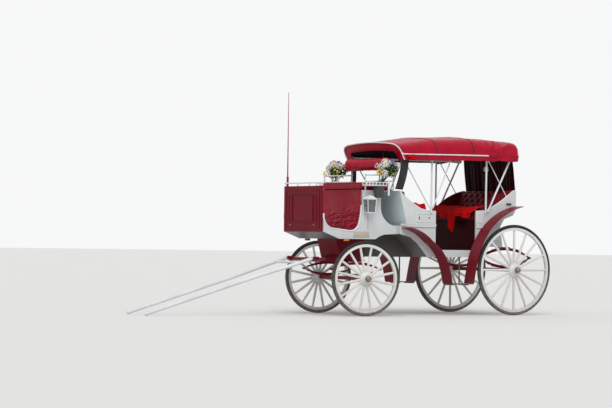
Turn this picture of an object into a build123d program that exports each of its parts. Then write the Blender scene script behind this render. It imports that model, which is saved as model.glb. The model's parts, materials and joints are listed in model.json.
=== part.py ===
# Open horse-drawn carriage for four passengers and a driver: a low white body with two facing
# seats and an open doorway each side, a boot with the driver's seat over the front wheels, a
# fixed canopy, elliptic springs, four spoked wheels, a steering fifth wheel and a pair of shafts.
# Millimetres. X runs forward, Y to the left and Z up; the origin is on the ground below the
# middle of the whole length. It is drawn parked: the front gear turned a little, as in the photo,
# and the shaft tips on the ground.
from build123d import *
import math
import os

# Wheels
wheelbase = 2160.0
track = 1360.0
front_wheel_radius = 457.0
rear_wheel_radius = 571.5
tyre_width = 40.0
tyre_depth = 38.0
felloe_width = 36.0
felloe_depth = 34.0
spoke_count = 16
spoke_root_radius = 17.5
spoke_tip_radius = 14.0
spoke_sides = 8
hub_flange_radius = 82.0
hub_flange_half = 24.0
hub_inner_length = 84.0
hub_nose_length = 66.0
hub_nose_radius = 44.0
cap_length = 48.0
cap_radius = 34.0
spindle_radius = 22.0
running_gap = 0.3
seat_gap = 0.3

# Axles and springs
axle_height_square = 44.0
spring_width = 46.0
leaf_thickness = 8.0
leaf_count = 4
rear_spring_y = 490.0
rear_spring_half_length = 385.0
rear_spring_rise = 96.0
front_spring_y = 400.0
front_spring_half_length = 330.0
front_spring_rise = 56.0

# Steering gear
turntable_z = 700.0
turntable_radius = 250.0
turntable_band = 46.0
turntable_thickness = 12.0
kingpin_radius = 18.0
splinter_ahead = 560.0
splinter_bar_radius = 20.0
splinter_to_hinge = 60.0
trace_end_radius = 12.0
trace_end_length = 60.0
splinter_half_width = 520.0
parked_steer = -8.0

# Shafts
shaft_length = 2240.0
shaft_tube_radius = 22.5
shaft_tip_radius = shaft_tube_radius - 0.5
shaft_half_gap = 380.0
shaft_tip_half_gap = 300.0
shaft_pin_radius = 9.0
shaft_eye_radius = 24.0
shaft_eye_width = 26.0

# Body
wall = 20.0
body_half_width = 530.0
body_bottom_z = 726.0
floor_top_z = 776.0
sill_top_z = 815.0
belt_z = 1110.0
belt_band = 26.0
belt_proud = 12.0
boot_half_width = 450.0
boot_bottom_z = 938.0
boot_top_z = 1540.0
dash_top_z = 1580.0
dash_bottom_z = 1020.0
dash_half_width = 425.0
dash_thickness = 22.0
spine_half_width = 210.0
spine_bottom_z = 722.0

# Seats
cushion_thickness = 95.0
passenger_seat_z = 1195.0
driver_cushion_thickness = 90.0
backrest_bottom_z = boot_top_z + 240
backrest_top_z = boot_top_z + 414
backrest_thickness = 120.0

# Canopy
canopy_half_width = 620.0
canopy_edge_z = 1990.0
canopy_valance_z = 1900.0
canopy_skin = 14.0
post_radius = 12.0
brace_radius = 8.0
frame_gap = 1.0
post_y = body_half_width + post_radius + seat_gap

# Fenders and steps
fender_inner_y = body_half_width + seat_gap
fender_width = 205.0
fender_thickness = 8.0
step_z = 400.0
step_thickness = 10.0

# Whip
whip_top_z = 2750.0

# Places worked out from the sizes above
splinter_z = turntable_z
shaft_drop = splinter_z - shaft_tip_radius
shaft_reach = math.sqrt(shaft_length ** 2 - shaft_drop ** 2)
steer = math.radians(abs(parked_steer))
tip_ahead = (splinter_ahead + shaft_reach) * math.cos(steer) + shaft_tip_half_gap * math.sin(steer)
front_overhang = tip_ahead + shaft_tip_radius
front_axle_x = (wheelbase + rear_wheel_radius - front_overhang) / 2
rear_axle_x = front_axle_x - wheelbase
F = front_axle_x
R = rear_axle_x
wheel_y = track / 2
boot_rear_x = F - 506
door_front_x = F - 1046
arch_front_x = F - 193
door_rear_x = R + 493
front_panel_top_x = F - 495
tail_x = R + 83
dash_x = F + 568
kingpin = Location((F, 0, 0))
steered = kingpin * Location((0, 0, 0), (0, 0, parked_steer)) * kingpin.inverse()

os.makedirs("parts", exist_ok=True)


def save(piece, name, place=Location()):
    """Put a finished piece in its place, label it and write it as its own STEP file."""
    placed = piece.part.moved(place)
    placed.label = name
    export_step(placed, f"parts/{name}.step")


def side_face(corners, y):
    """A closed face of (x, z) corners standing at y, facing the right side."""
    with BuildSketch(Plane.XZ.offset(-y)) as face:
        with BuildLine():
            Polyline(*corners, close=True)
        make_face()
    return face.sketch


def side_plates(corners, outer_y, thickness):
    """The same flat plate on the left and on the right side."""
    with BuildPart() as plates:
        extrude(side_face(corners, outer_y), amount=thickness)
        mirror(about=Plane.XZ)
    return plates.part


def across(corners, half_width):
    """A prism of (x, z) corners that runs across the carriage."""
    with BuildPart() as prism:
        extrude(side_face(corners, 0), amount=half_width, both=True)
    return prism.part


def strip(points, thickness):
    """Corners of a band of even thickness under a chain of (x, z) points."""
    under = []
    for i, point in enumerate(points):
        before = Vector(*points[max(i - 1, 0)])
        after = Vector(*points[min(i + 1, len(points) - 1)])
        along = (after - before).normalized()
        under.append((point[0] + along.Y * thickness, point[1] - along.X * thickness))
    return list(points) + under[::-1]


def rod(start, end, radius):
    """A round bar between two points."""
    along = Vector(*end) - Vector(*start)
    with BuildPart() as bar:
        with BuildSketch(Plane(origin=start, z_dir=along)):
            Circle(radius)
        extrude(amount=along.length)
    return bar.part


def ball(centre, radius):
    """A round knob."""
    with BuildPart() as knob:
        with Locations(centre):
            Sphere(radius)
    return knob.part


def slab(low, high):
    """A plain block between two corners."""
    size = Vector(*high) - Vector(*low)
    middle = (Vector(*high) + Vector(*low)) / 2
    with BuildPart() as block:
        with Locations(middle):
            Box(size.X, size.Y, size.Z)
    return block.part


# Wheels: a turned hub, tapered spokes, a felloe and a solid rubber tyre
def spoked_wheel(radius, first_angle):
    """A wheel about the Y axis with its outer face towards +Y."""
    felloe_outer = radius - tyre_depth
    felloe_inner = felloe_outer - felloe_depth
    spoke_start = hub_flange_radius - 12
    spoke_length = felloe_inner + 6 - spoke_start
    turned = Plane(origin=(0, 0, 0), x_dir=(0, 1, 0), z_dir=(1, 0, 0))
    with BuildPart() as wheel:
        with BuildSketch(turned):
            with BuildLine():
                Polyline(
                    (-hub_inner_length, spindle_radius + running_gap),
                    (-hub_inner_length, 50),
                    (-hub_flange_half - 12, 62),
                    (-hub_flange_half, hub_flange_radius),
                    (hub_flange_half, hub_flange_radius),
                    (hub_flange_half + 14, 60),
                    (hub_nose_length, hub_nose_radius),
                    (hub_nose_length, spindle_radius + running_gap),
                    close=True,
                )
            make_face()
        revolve(axis=Axis.Y)
        with BuildSketch(turned):
            with Locations((0, (felloe_outer + felloe_inner) / 2)):
                Rectangle(felloe_width, felloe_depth)
        revolve(axis=Axis.Y)
        for spoke in range(spoke_count):
            angle = math.radians(first_angle + 360 * spoke / spoke_count)
            out = Vector(math.cos(angle), 0, math.sin(angle))
            with BuildSketch(Plane(origin=out * spoke_start, z_dir=out)):
                RegularPolygon(spoke_root_radius, spoke_sides)
            with BuildSketch(Plane(origin=out * (spoke_start + spoke_length), z_dir=out)):
                RegularPolygon(spoke_tip_radius, spoke_sides)
            loft()
    return wheel.part


def rubber_tyre(radius):
    """A solid tyre with a rounded tread."""
    seat = radius - tyre_depth
    half = tyre_width / 2
    turned = Plane(origin=(0, 0, 0), x_dir=(0, 1, 0), z_dir=(1, 0, 0))
    with BuildPart() as tyre:
        with BuildSketch(turned):
            with BuildLine():
                Line((-half, seat), (half, seat))
                Line((half, seat), (half, radius - half * 0.6))
                ThreePointArc((half, radius - half * 0.6), (0, radius), (-half, radius - half * 0.6))
                Line((-half, radius - half * 0.6), (-half, seat))
            make_face()
        revolve(axis=Axis.Y)
    return tyre.part


def hub_cap():
    """A turned brass cap that closes the hub's nose."""
    turned = Plane(origin=(0, 0, 0), x_dir=(0, 1, 0), z_dir=(1, 0, 0))
    tip = hub_nose_length + cap_length
    with BuildPart() as cap:
        with BuildSketch(turned):
            with BuildLine():
                Polyline(
                    (hub_nose_length, 0),
                    (hub_nose_length, hub_nose_radius - 4),
                    (hub_nose_length + 8, hub_nose_radius - 4),
                    (hub_nose_length + 12, cap_radius),
                    (tip - 8, cap_radius - 4),
                    (tip, cap_radius - 14),
                    (tip, 0),
                    close=True,
                )
            make_face()
        revolve(axis=Axis.Y)
    return cap.part


# name, axle place, radius, angle of the first spoke and the parked turn of the gear
wheel_sizes = [
    ("front", front_axle_x, front_wheel_radius, 90 + 180 / spoke_count, steered),
    ("rear", rear_axle_x, rear_wheel_radius, 90, Location()),
]
for end, axle_x, radius, first_angle, parked in wheel_sizes:
    whole_wheel = spoked_wheel(radius, first_angle)
    whole_tyre = rubber_tyre(radius)
    whole_cap = hub_cap()
    for side, turn in (("left", 0), ("right", 180)):
        y = wheel_y if turn == 0 else -wheel_y
        place = parked * Location((axle_x, y, radius), (0, 0, turn))
        with BuildPart() as wheel:
            with Locations(place):
                add(whole_wheel)
        save(wheel, f"wheel_{end}_{side}")
        with BuildPart() as tyre:
            with Locations(place):
                add(whole_tyre)
        save(tyre, f"tyre_{end}_{side}")
        with BuildPart() as cap:
            with Locations(place):
                add(whole_cap)
        save(cap, f"hub_cap_{end}_{side}")


# Springs: leaf packs in pairs, joined at their eyes
def leaf_pack(half_length, rise, upward):
    """One half of an elliptic spring, its eyes at height 0, seen from the side."""
    bend = (half_length ** 2 + rise ** 2) / (2 * rise)
    reach = math.degrees(math.asin(half_length / bend))
    with BuildPart() as pack:
        for leaf in range(leaf_count):
            inner = bend + leaf * leaf_thickness
            outer = inner + leaf_thickness
            share = 1 - 0.17 * leaf
            start = 90 - reach * share
            sweep_angle = 2 * reach * share
            a = math.radians(start)
            b = math.radians(start + sweep_angle)
            centre = (0, rise - bend)
            with BuildSketch(Plane.XZ):
                with BuildLine():
                    CenterArc(centre, inner, start, sweep_angle)
                    CenterArc(centre, outer, start, sweep_angle)
                    Line(
                        (centre[0] + inner * math.cos(a), centre[1] + inner * math.sin(a)),
                        (centre[0] + outer * math.cos(a), centre[1] + outer * math.sin(a)),
                    )
                    Line(
                        (centre[0] + inner * math.cos(b), centre[1] + inner * math.sin(b)),
                        (centre[0] + outer * math.cos(b), centre[1] + outer * math.sin(b)),
                    )
                make_face()
            extrude(amount=spring_width / 2, both=True)
    if upward:
        return pack.part
    return pack.part.mirror(Plane.XY)


def elliptic_spring(half_length, rise):
    """Two leaf packs with a rolled eye at each end."""
    with BuildPart() as spring:
        add(leaf_pack(half_length, rise, True))
        add(leaf_pack(half_length, rise, False))
        for end in (-1, 1):
            x = end * (half_length + 2)
            add(rod((x, -spring_width / 2, 0), (x, spring_width / 2, 0), 13))
    return spring.part


spring_pack_height = leaf_count * leaf_thickness


# Rear axle: a square bar with turned ends, and the springs that stand on it
rear_axle_top = rear_wheel_radius + axle_height_square / 2
rear_spring_z = rear_axle_top + rear_spring_rise + spring_pack_height
rear_spring_top = rear_spring_z + rear_spring_rise + spring_pack_height
axle_shoulder_y = wheel_y - hub_inner_length - 4
spindle_end_y = wheel_y + hub_nose_length - 6


def axle_bar(axle_x, axle_z):
    """A square axle with round ends that run in the hubs."""
    half = axle_height_square / 2
    with BuildPart() as bar:
        add(slab((axle_x - half, -axle_shoulder_y, axle_z - half),
                 (axle_x + half, axle_shoulder_y, axle_z + half)))
        add(rod((axle_x, -spindle_end_y, axle_z), (axle_x, spindle_end_y, axle_z), spindle_radius))
    return bar.part


with BuildPart() as rear_axle:
    add(axle_bar(rear_axle_x, rear_wheel_radius))
save(rear_axle, "rear_axle")

with BuildPart() as rear_springs:
    for y in (-rear_spring_y, rear_spring_y):
        with Locations((rear_axle_x, y, rear_spring_z)):
            add(elliptic_spring(rear_spring_half_length, rear_spring_rise))
save(rear_springs, "rear_springs")

# Front gear: axle, springs, cross bolster, lower ring, futchells and splinter bar
front_axle_top = front_wheel_radius + axle_height_square / 2
front_spring_z = front_axle_top + front_spring_rise + spring_pack_height
front_spring_top = front_spring_z + front_spring_rise + spring_pack_height
with BuildPart() as front_axle:
    add(axle_bar(front_axle_x, front_wheel_radius))
save(front_axle, "front_axle", steered)

with BuildPart() as front_springs:
    for y in (-front_spring_y, front_spring_y):
        with Locations((front_axle_x, y, front_spring_z)):
            add(elliptic_spring(front_spring_half_length, front_spring_rise))
save(front_springs, "front_springs", steered)

hinge = Vector(F + splinter_ahead, 0, splinter_z)
ring_bottom_z = turntable_z - turntable_thickness
with BuildPart() as turntable:
    with BuildSketch(Plane.XY.offset(ring_bottom_z)):
        with Locations((front_axle_x, 0)):
            Circle(turntable_radius)
            Circle(turntable_radius - turntable_band, mode=Mode.SUBTRACT)
            Rectangle(2 * turntable_radius - turntable_band, 60)
            Circle(kingpin_radius + running_gap, mode=Mode.SUBTRACT)
    extrude(amount=turntable_thickness)
save(turntable, "turntable", steered)

# The front springs carry a cross bolster, and two futchells run from it to the splinter bar
futchell_y = 150.0
bolster_half = front_spring_y + spring_width / 2
bar_x = F + splinter_ahead - splinter_to_hinge
bar_z = splinter_z - 12
futchell_front_x = bar_x - 30
with BuildPart() as front_carriage:
    add(slab((F - 30, -bolster_half, front_spring_top), (F + 30, bolster_half, ring_bottom_z)))
    for y in (-futchell_y, futchell_y):
        add(slab((F - 230, y - 20, front_spring_top), (futchell_front_x, y + 20, ring_bottom_z)))
    with Locations((F, 0, front_spring_top + 10)):
        Cylinder(kingpin_radius + running_gap, 200, mode=Mode.SUBTRACT)
save(front_carriage, "front_carriage", steered)

fork_plate = 12.0
with BuildPart() as splinter_bar:
    add(rod((bar_x, -splinter_half_width, bar_z), (bar_x, splinter_half_width, bar_z),
            splinter_bar_radius))
    for side in (-1, 1):
        middle = side * shaft_half_gap
        for edge in (-1, 1):
            inner = middle + edge * (shaft_eye_width / 2 + running_gap)
            outer = inner + edge * fork_plate
            low_y = min(inner, outer)
            high_y = max(inner, outer)
            add(slab((bar_x, low_y, splinter_z - 22), (hinge.X + 18, high_y, splinter_z + 18)))
        reach = shaft_eye_width / 2 + running_gap + fork_plate + 6
        add(rod((hinge.X, middle - reach, splinter_z), (hinge.X, middle + reach, splinter_z),
                shaft_pin_radius))
        add(rod((bar_x, side * (splinter_half_width - 20), bar_z),
                (bar_x, side * (splinter_half_width + trace_end_length), bar_z), trace_end_radius))
    for y in (-futchell_y, futchell_y):
        add(slab((futchell_front_x, y - 20, front_spring_top), (bar_x, y + 20, ring_bottom_z)))
save(splinter_bar, "splinter_bar", steered)

# Shafts: two tubes that draw together towards the tips, a cross bar and hinge eyes
shaft_angle = math.asin(shaft_drop / shaft_length)


def along_shaft(distance, y):
    """A point on the shafts' sloping plane, at a distance from the hinge line."""
    return (
        hinge.X + distance * math.cos(shaft_angle),
        y,
        hinge.Z - distance * math.sin(shaft_angle),
    )


bend_start = 260.0
bend_end = 760.0
with BuildPart() as shafts:
    for side in (-1, 1):
        path_points = [
            along_shaft(shaft_eye_radius + 16, side * shaft_half_gap),
            along_shaft(bend_start, side * shaft_half_gap),
            along_shaft(bend_end, side * shaft_tip_half_gap),
            along_shaft(shaft_length, side * shaft_tip_half_gap),
        ]
        with BuildLine() as path:
            route = FilletPolyline(*path_points, radius=900)
        with BuildSketch(Plane(origin=route @ 0, z_dir=route % 0)):
            Circle(shaft_tube_radius)
        sweep(path=path.wires()[0])
        add(ball(along_shaft(shaft_length, side * shaft_tip_half_gap), shaft_tip_radius))
        middle = side * shaft_half_gap
        add(rod(along_shaft(0, middle), along_shaft(shaft_eye_radius + 30, middle),
                shaft_eye_width / 2 - 1))
        add(rod((hinge.X, middle - shaft_eye_width / 2, hinge.Z),
                (hinge.X, middle + shaft_eye_width / 2, hinge.Z), shaft_eye_radius))
        with Locations((hinge.X, middle, hinge.Z)):
            Cylinder(shaft_pin_radius + running_gap, 60, rotation=(90, 0, 0), mode=Mode.SUBTRACT)
    add(rod(along_shaft(180, -shaft_half_gap), along_shaft(180, shaft_half_gap), 16))
save(shafts, "shafts", steered)

# Underframe: the fixed upper ring, kingpin, bolster block, spine box and rear spring blocks
upper_ring_z = turntable_z + running_gap
block_half = 170.0
with BuildPart() as underframe:
    with BuildSketch(Plane.XY.offset(upper_ring_z)):
        with Locations((F, 0)):
            Circle(turntable_radius)
            Circle(turntable_radius - turntable_band, mode=Mode.SUBTRACT)
            Rectangle(2 * turntable_radius - turntable_band, 70)
    extrude(amount=turntable_thickness)
    add(rod((F, 0, front_spring_top - 60), (F, 0, upper_ring_z + 4), kingpin_radius))
    add(across([
        (F + block_half, upper_ring_z + turntable_thickness),
        (F + block_half + 60, boot_bottom_z),
        (arch_front_x, boot_bottom_z),
        (arch_front_x, upper_ring_z + turntable_thickness),
    ], spine_half_width))
    for y in (-rear_spring_y, rear_spring_y):
        add(slab((R - 60, y - 26, rear_spring_top), (R + 120, y + 26, rear_spring_top + 10)))
save(underframe, "underframe")

# The narrow dark box between the front wheels ties the boot and the bolster to the body
arch = [
    (arch_front_x, boot_bottom_z),
    (F - 252, 972),
    (F - 326, 997),
    (boot_rear_x, 1006),
    (F - 656, 971),
    (F - 770, 890),
    (F - 918, body_bottom_z),
]
with BuildPart() as spine:
    add(across([(arch_front_x, spine_bottom_z), *arch, (F - 918, spine_bottom_z)],
               spine_half_width))
save(spine, "spine")

# Lower body: floor, sills, side panels below the belt line, the sloping arch plate and the tail
spring_clear_z = rear_spring_top + 10
underside = [
    (boot_rear_x, belt_z),
    *arch[3:],
    (R + 430, body_bottom_z),
    (R + 300, spring_clear_z),
    (tail_x - 15, spring_clear_z),
    (tail_x + 30, belt_z),
]
with BuildPart() as lower_body:
    add(side_plates([
        *underside,
        (door_rear_x, belt_z),
        (door_rear_x, sill_top_z),
        (door_front_x, sill_top_z),
        (door_front_x, belt_z),
    ], body_half_width, wall))
    add(across([
        *underside,
        (tail_x + 30 + wall, belt_z),
        (tail_x + wall - 15, spring_clear_z + wall),
        (R + 310, spring_clear_z + wall),
        (R + 410, floor_top_z),
        (F - 880, floor_top_z),
        (F - 780, 907),
        (F - 664, 990),
        (boot_rear_x - wall, 1026),
        (boot_rear_x - wall, belt_z),
    ], body_half_width - wall))
save(lower_body, "lower_body")

# Boot: the seat box over the front wheels, hollow and closed by the body behind it
boot_back_x = F - 270
boot_step_z = belt_z - 5


def boot_outline(inset):
    """The boot's side outline, drawn in by an even wall at the front, top and bottom."""
    sweep_radius = boot_back_x - boot_rear_x + inset * 0.2
    back = boot_back_x - inset * 0.2
    low = boot_step_z - inset
    slant = math.sin(math.radians(45))
    with BuildSketch(Plane.XZ) as outline:
        with BuildLine():
            Polyline(
                (back - inset, low + sweep_radius + inset),
                (back - inset, boot_top_z - inset),
                (F - inset, boot_top_z - inset),
                (F - inset, boot_bottom_z + inset),
                *[(x, z + inset) for x, z in arch[:4]],
                (boot_rear_x, low),
            )
            ThreePointArc(
                (boot_rear_x, low),
                (boot_rear_x + (sweep_radius - inset) * slant,
                 low + (sweep_radius + inset) * (1 - slant)),
                (back - inset, low + sweep_radius + inset),
            )
        make_face()
    return outline.sketch


with BuildPart() as boot:
    extrude(boot_outline(0), amount=boot_half_width, both=True)
    extrude(boot_outline(15), amount=boot_half_width - 15, both=True, mode=Mode.SUBTRACT)
save(boot, "boot")

# Driver's footwell: floor, toe board and two side panels that rise to the dash
with BuildPart() as footwell:
    with BuildSketch(Plane.XZ.offset(-boot_half_width)):
        with BuildLine():
            Polyline((F + 16, 1355), (F, 1355), (F, boot_bottom_z), (F + 340, boot_bottom_z),
                     (dash_x - 4, dash_bottom_z), (dash_x - 4, 1245))
            ThreePointArc((dash_x - 4, 1245), (F + 540, 1130), (F + 450, 1064))
            Line((F + 450, 1064), (F + 200, 1037))
            ThreePointArc((F + 200, 1037), (F + 105, 1056), (F + 48, 1140))
            ThreePointArc((F + 48, 1140), (F + 26, 1245), (F + 16, 1355))
        make_face()
    extrude(amount=wall)
    mirror(about=Plane.XZ)
    add(across([
        (F, boot_bottom_z),
        (F + 340, boot_bottom_z),
        (dash_x - 4, dash_bottom_z),
        (dash_x - 4, dash_bottom_z + wall),
        (F + 336, boot_bottom_z + wall),
        (F, boot_bottom_z + wall),
    ], boot_half_width - wall))
save(footwell, "footwell")

# Dash: a panel with raised mouldings, and a rail on short posts above it
moulding = 10.0
with BuildPart() as dash_panel:
    add(slab((dash_x - 4, -dash_half_width, dash_bottom_z),
             (dash_x - 4 + dash_thickness, dash_half_width, dash_top_z)))
    dash_height = dash_top_z - dash_bottom_z
    for inset, band in ((45, 14), (110, 10)):
        with BuildSketch(Plane.YZ.offset(dash_x - 4 + dash_thickness)):
            with Locations((0, (dash_top_z + dash_bottom_z) / 2)):
                Rectangle(2 * (dash_half_width - inset), dash_height - 2 * inset)
                Rectangle(2 * (dash_half_width - inset - band), dash_height - 2 * inset - 2 * band,
                          mode=Mode.SUBTRACT)
        extrude(amount=moulding * 0.6)
save(dash_panel, "dash_panel")

rail_x = dash_x + dash_thickness / 2 - 4
with BuildPart() as dash_rail:
    for y in (-400, -133, 133, 400):
        add(rod((rail_x, y, dash_top_z), (rail_x, y, dash_top_z + 34), 7))
    add(rod((rail_x, -412, dash_top_z + 38), (rail_x, 412, dash_top_z + 38), 8))
    for y in (-416, 416):
        add(ball((rail_x, y, dash_top_z + 38), 13))
save(dash_rail, "dash_rail")

whip_y = -dash_half_width + 12
with BuildPart() as whip:
    whip_x = dash_x - 22
    add(rod((whip_x, whip_y, 1540), (whip_x, whip_y, 1700), 14))
    add(slab((whip_x, whip_y - 12, 1560), (dash_x - 4, whip_y + 12, 1590)))
    with BuildSketch(Plane.XY.offset(1700)):
        with Locations((whip_x, whip_y)):
            Circle(8)
    with BuildSketch(Plane.XY.offset(whip_top_z)):
        with Locations((whip_x, whip_y)):
            Circle(3)
    loft()
save(whip, "whip")

# Driver's seat: apron, cushion, backrest bolster and rails
with BuildPart() as seat_apron:
    add(slab((F, -boot_half_width + wall, 1030), (F + 14, boot_half_width - wall, boot_top_z - 4)))
save(seat_apron, "seat_apron")

cushion_front_x = F + 22
cushion_back_x = F - 440
with BuildPart() as seat_deck:
    add(slab((cushion_back_x, -boot_half_width, boot_top_z), (F, boot_half_width, boot_top_z + 14)))
save(seat_deck, "seat_deck")
deck_z = boot_top_z + 14
with BuildPart() as driver_cushion:
    add(slab((cushion_back_x + 10, -boot_half_width + 12, deck_z),
             (cushion_front_x, boot_half_width - 12, deck_z + driver_cushion_thickness)))
    fillet(driver_cushion.edges().filter_by(Axis.Y).group_by(Axis.Z)[-1], radius=30)
save(driver_cushion, "driver_cushion")

back_x = F - 375
with BuildPart() as driver_backrest:
    add(slab((back_x - backrest_thickness / 2, -480, backrest_bottom_z),
             (back_x + backrest_thickness / 2, 480, backrest_top_z)))
    fillet(driver_backrest.edges().filter_by(Axis.Y), radius=50)
save(driver_backrest, "driver_backrest")

rail_radius = 9.0
arm_y = boot_half_width + rail_radius
arm_z = boot_top_z + 200
with BuildPart() as driver_seat_rail:
    for side in (-1, 1):
        y = side * arm_y
        add(rod((F - 30, y, boot_top_z - 40), (F - 30, y, arm_z - 10), rail_radius))
        add(rod((F - 240, y, boot_top_z - 40), (F - 240, y, arm_z - 5), rail_radius))
        add(rod((F - 462, y, arm_z - 85), (F - 30, y, arm_z - 95), rail_radius - 1))
        add(rod((F - 462, y, arm_z), (F - 30, y, arm_z - 18), rail_radius - 1))
        add(rod((F - 445, y, boot_top_z + 4), (F - 445, y, backrest_top_z - 40), rail_radius))
        add(ball((F - 30, y, arm_z - 10), 13))
    cross_x = back_x - backrest_thickness / 2 - seat_gap - rail_radius + 1
    for z in (backrest_bottom_z + 40, backrest_top_z - 65):
        add(rod((cross_x, -arm_y - 4, z), (cross_x, arm_y + 4, z), rail_radius - 1))
save(driver_seat_rail, "driver_seat_rail")

# Flower pots in white slatted brackets at both ends of the driver's seat
pot_x = F - 190
pot_bottom_z = boot_top_z - 94
pot_top_z = boot_top_z + 49
rack_top_z = boot_top_z + 100
flower_x = F - 300
flower_bottom_z = boot_top_z + 165
flower_top_z = boot_top_z + 400
pot_y = arm_y + rail_radius + seat_gap + 52
with BuildPart() as planters:
    for side in (-1, 1):
        y = side * pot_y
        with BuildSketch(Plane.XY.offset(pot_bottom_z)):
            with Locations((pot_x, y)):
                Rectangle(88, 84)
        with BuildSketch(Plane.XY.offset(pot_top_z)):
            with Locations((pot_x, y)):
                Rectangle(118, 100)
        loft()
        add(slab((pot_x - 85, y - 52, pot_top_z), (pot_x + 215, y + 52, rack_top_z)))
save(planters, "planters")

with BuildPart() as flowers:
    for side in (-1, 1):
        add(slab((flower_x - 185, side * (pot_y + 40) - 78, flower_bottom_z),
                 (flower_x + 185, side * (pot_y + 40) + 78, flower_top_z)))
        add(rod((pot_x, side * (pot_y + 8), rack_top_z + seat_gap),
                (pot_x, side * (pot_y + 8), flower_bottom_z + 40), 30))
    fillet(flowers.edges().filter_by(Axis.Z).filter_by(GeomType.LINE), radius=60)
    fillet(flowers.edges().group_by(Axis.Z)[-1], radius=50)
save(flowers, "flowers")

# Lanterns on the sides of the boot: a tapered glazed body under a small roof
lantern_x = F - 60
lantern_y = boot_half_width + 62
# height and the two sides of each section, from the foot up
lantern_body = [(1262, 90, 84), (1398, 120, 112)]
lantern_roof = [(1398, 124, 118), (1446, 44, 40)]
with BuildPart() as lanterns:
    for side in (-1, 1):
        y = side * lantern_y
        for sections in (lantern_body, lantern_roof):
            for z, long_side, short_side in sections:
                with BuildSketch(Plane.XY.offset(z)):
                    with Locations((lantern_x, y)):
                        Rectangle(long_side, short_side)
            loft()
        add(slab((lantern_x - 15, min(side * boot_half_width, y), 1320),
                 (lantern_x + 15, max(side * boot_half_width, y), 1380)))
save(lanterns, "lanterns")

# Front tub: side wings and the panel behind the rear-facing seat
tub_top_z = 1540.0
with BuildPart() as front_tub:
    with BuildSketch(Plane.XZ.offset(-body_half_width)):
        with BuildLine():
            Polyline((front_panel_top_x, tub_top_z), (F - 609, belt_z), (door_front_x, belt_z),
                     (door_front_x, 1290), (F - 955, 1297), (F - 833, 1316))
            ThreePointArc((F - 833, 1316), (F - 690, 1393), (front_panel_top_x, tub_top_z))
        make_face()
    extrude(amount=wall)
    mirror(about=Plane.XZ)
    add(across([
        (F - 609, belt_z),
        (front_panel_top_x, tub_top_z),
        (front_panel_top_x - wall, tub_top_z),
        (F - 609 - wall, belt_z),
    ], body_half_width - wall))
    for side in (-1, 1):
        low = min(side * body_half_width, side * (body_half_width + belt_proud))
        high = max(side * body_half_width, side * (body_half_width + belt_proud))
        add(slab((door_front_x, low, belt_z), (F - 515, high, belt_z + belt_band)))
save(front_tub, "front_tub")

# Rear tub: side wings that rise to the back panel
back_panel = [
    (tail_x + 30, belt_z),
    (R + 50, 1212),
    (R - 92, 1262),
    (R - 136, 1330),
    (R - 140, 1450),
    (R - 135, 1572),
]
with BuildPart() as rear_tub:
    with BuildSketch(Plane.XZ.offset(-body_half_width)):
        with BuildLine():
            Polyline((R - 78, 1560), (R - 100, 1572), *back_panel[::-1], (door_rear_x, belt_z),
                     (door_rear_x, 1302), (R + 350, 1310))
            ThreePointArc((R + 350, 1310), (R + 130, 1418), (R - 78, 1560))
        make_face()
    extrude(amount=wall)
    mirror(about=Plane.XZ)
    panel_corners = strip(back_panel, wall)
    top_corner = len(back_panel)
    panel_corners[top_corner] = (panel_corners[top_corner][0], back_panel[-1][1])
    add(across(panel_corners, body_half_width - wall))
    for side in (-1, 1):
        low = min(side * body_half_width, side * (body_half_width + belt_proud))
        high = max(side * body_half_width, side * (body_half_width + belt_proud))
        add(slab((tail_x + 32, low, belt_z), (R + 320, high, belt_z + belt_band)))
        add(slab((R + 412, low, belt_z), (door_rear_x, high, belt_z + belt_band)))
save(rear_tub, "rear_tub")

# Passenger seats: boxes that stand on the floor, with cushions and backs
front_seat_front_x = door_front_x + 66
rear_seat_front_x = R + 480
seat_half = body_half_width - wall - 1
with BuildPart() as seat_boxes:
    add(slab((front_seat_front_x, -seat_half, 930), (front_seat_front_x + wall, seat_half,
                                                     passenger_seat_z)))
    add(slab((front_seat_front_x, -seat_half, floor_top_z), (front_seat_front_x + wall, seat_half,
                                                             930)))
    add(slab((front_seat_front_x, -seat_half, passenger_seat_z - wall),
             (F - 650, seat_half, passenger_seat_z)))
    add(slab((rear_seat_front_x - wall, -seat_half, floor_top_z), (rear_seat_front_x, seat_half,
                                                                   passenger_seat_z)))
    add(slab((R + 100, -seat_half, passenger_seat_z - wall), (rear_seat_front_x, seat_half,
                                                              passenger_seat_z)))
save(seat_boxes, "seat_boxes")

with BuildPart() as front_cushion:
    add(slab((front_seat_front_x - 12, -seat_half, passenger_seat_z + 0.3),
             (F - 640, seat_half, passenger_seat_z + cushion_thickness)))
    fillet(front_cushion.edges().filter_by(Axis.Y).group_by(Axis.Z)[-1], radius=25)
save(front_cushion, "front_cushion")

with BuildPart() as rear_cushion:
    add(slab((R + 85, -seat_half, passenger_seat_z + 0.3),
             (rear_seat_front_x + 12, seat_half, passenger_seat_z + cushion_thickness)))
    fillet(rear_cushion.edges().filter_by(Axis.Y).group_by(Axis.Z)[-1], radius=25)
save(rear_cushion, "rear_cushion")

cushion_top = passenger_seat_z + cushion_thickness
with BuildPart() as front_back:
    add(across([
        (F - 602, cushion_top + 0.3),
        (front_panel_top_x - wall - 3, 1532),
        (front_panel_top_x - wall - 77, 1532),
        (F - 680, cushion_top + 0.3),
    ], seat_half))
save(front_back, "front_back")

with BuildPart() as rear_back:
    add(across([
        (R + 10, cushion_top + 0.3),
        (R - 80, 1440),
        (R - 112, 1566),
        (R - 20, 1576),
        (R + 50, 1440),
        (R + 140, cushion_top + 0.3),
    ], seat_half))
save(rear_back, "rear_back")

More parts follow.
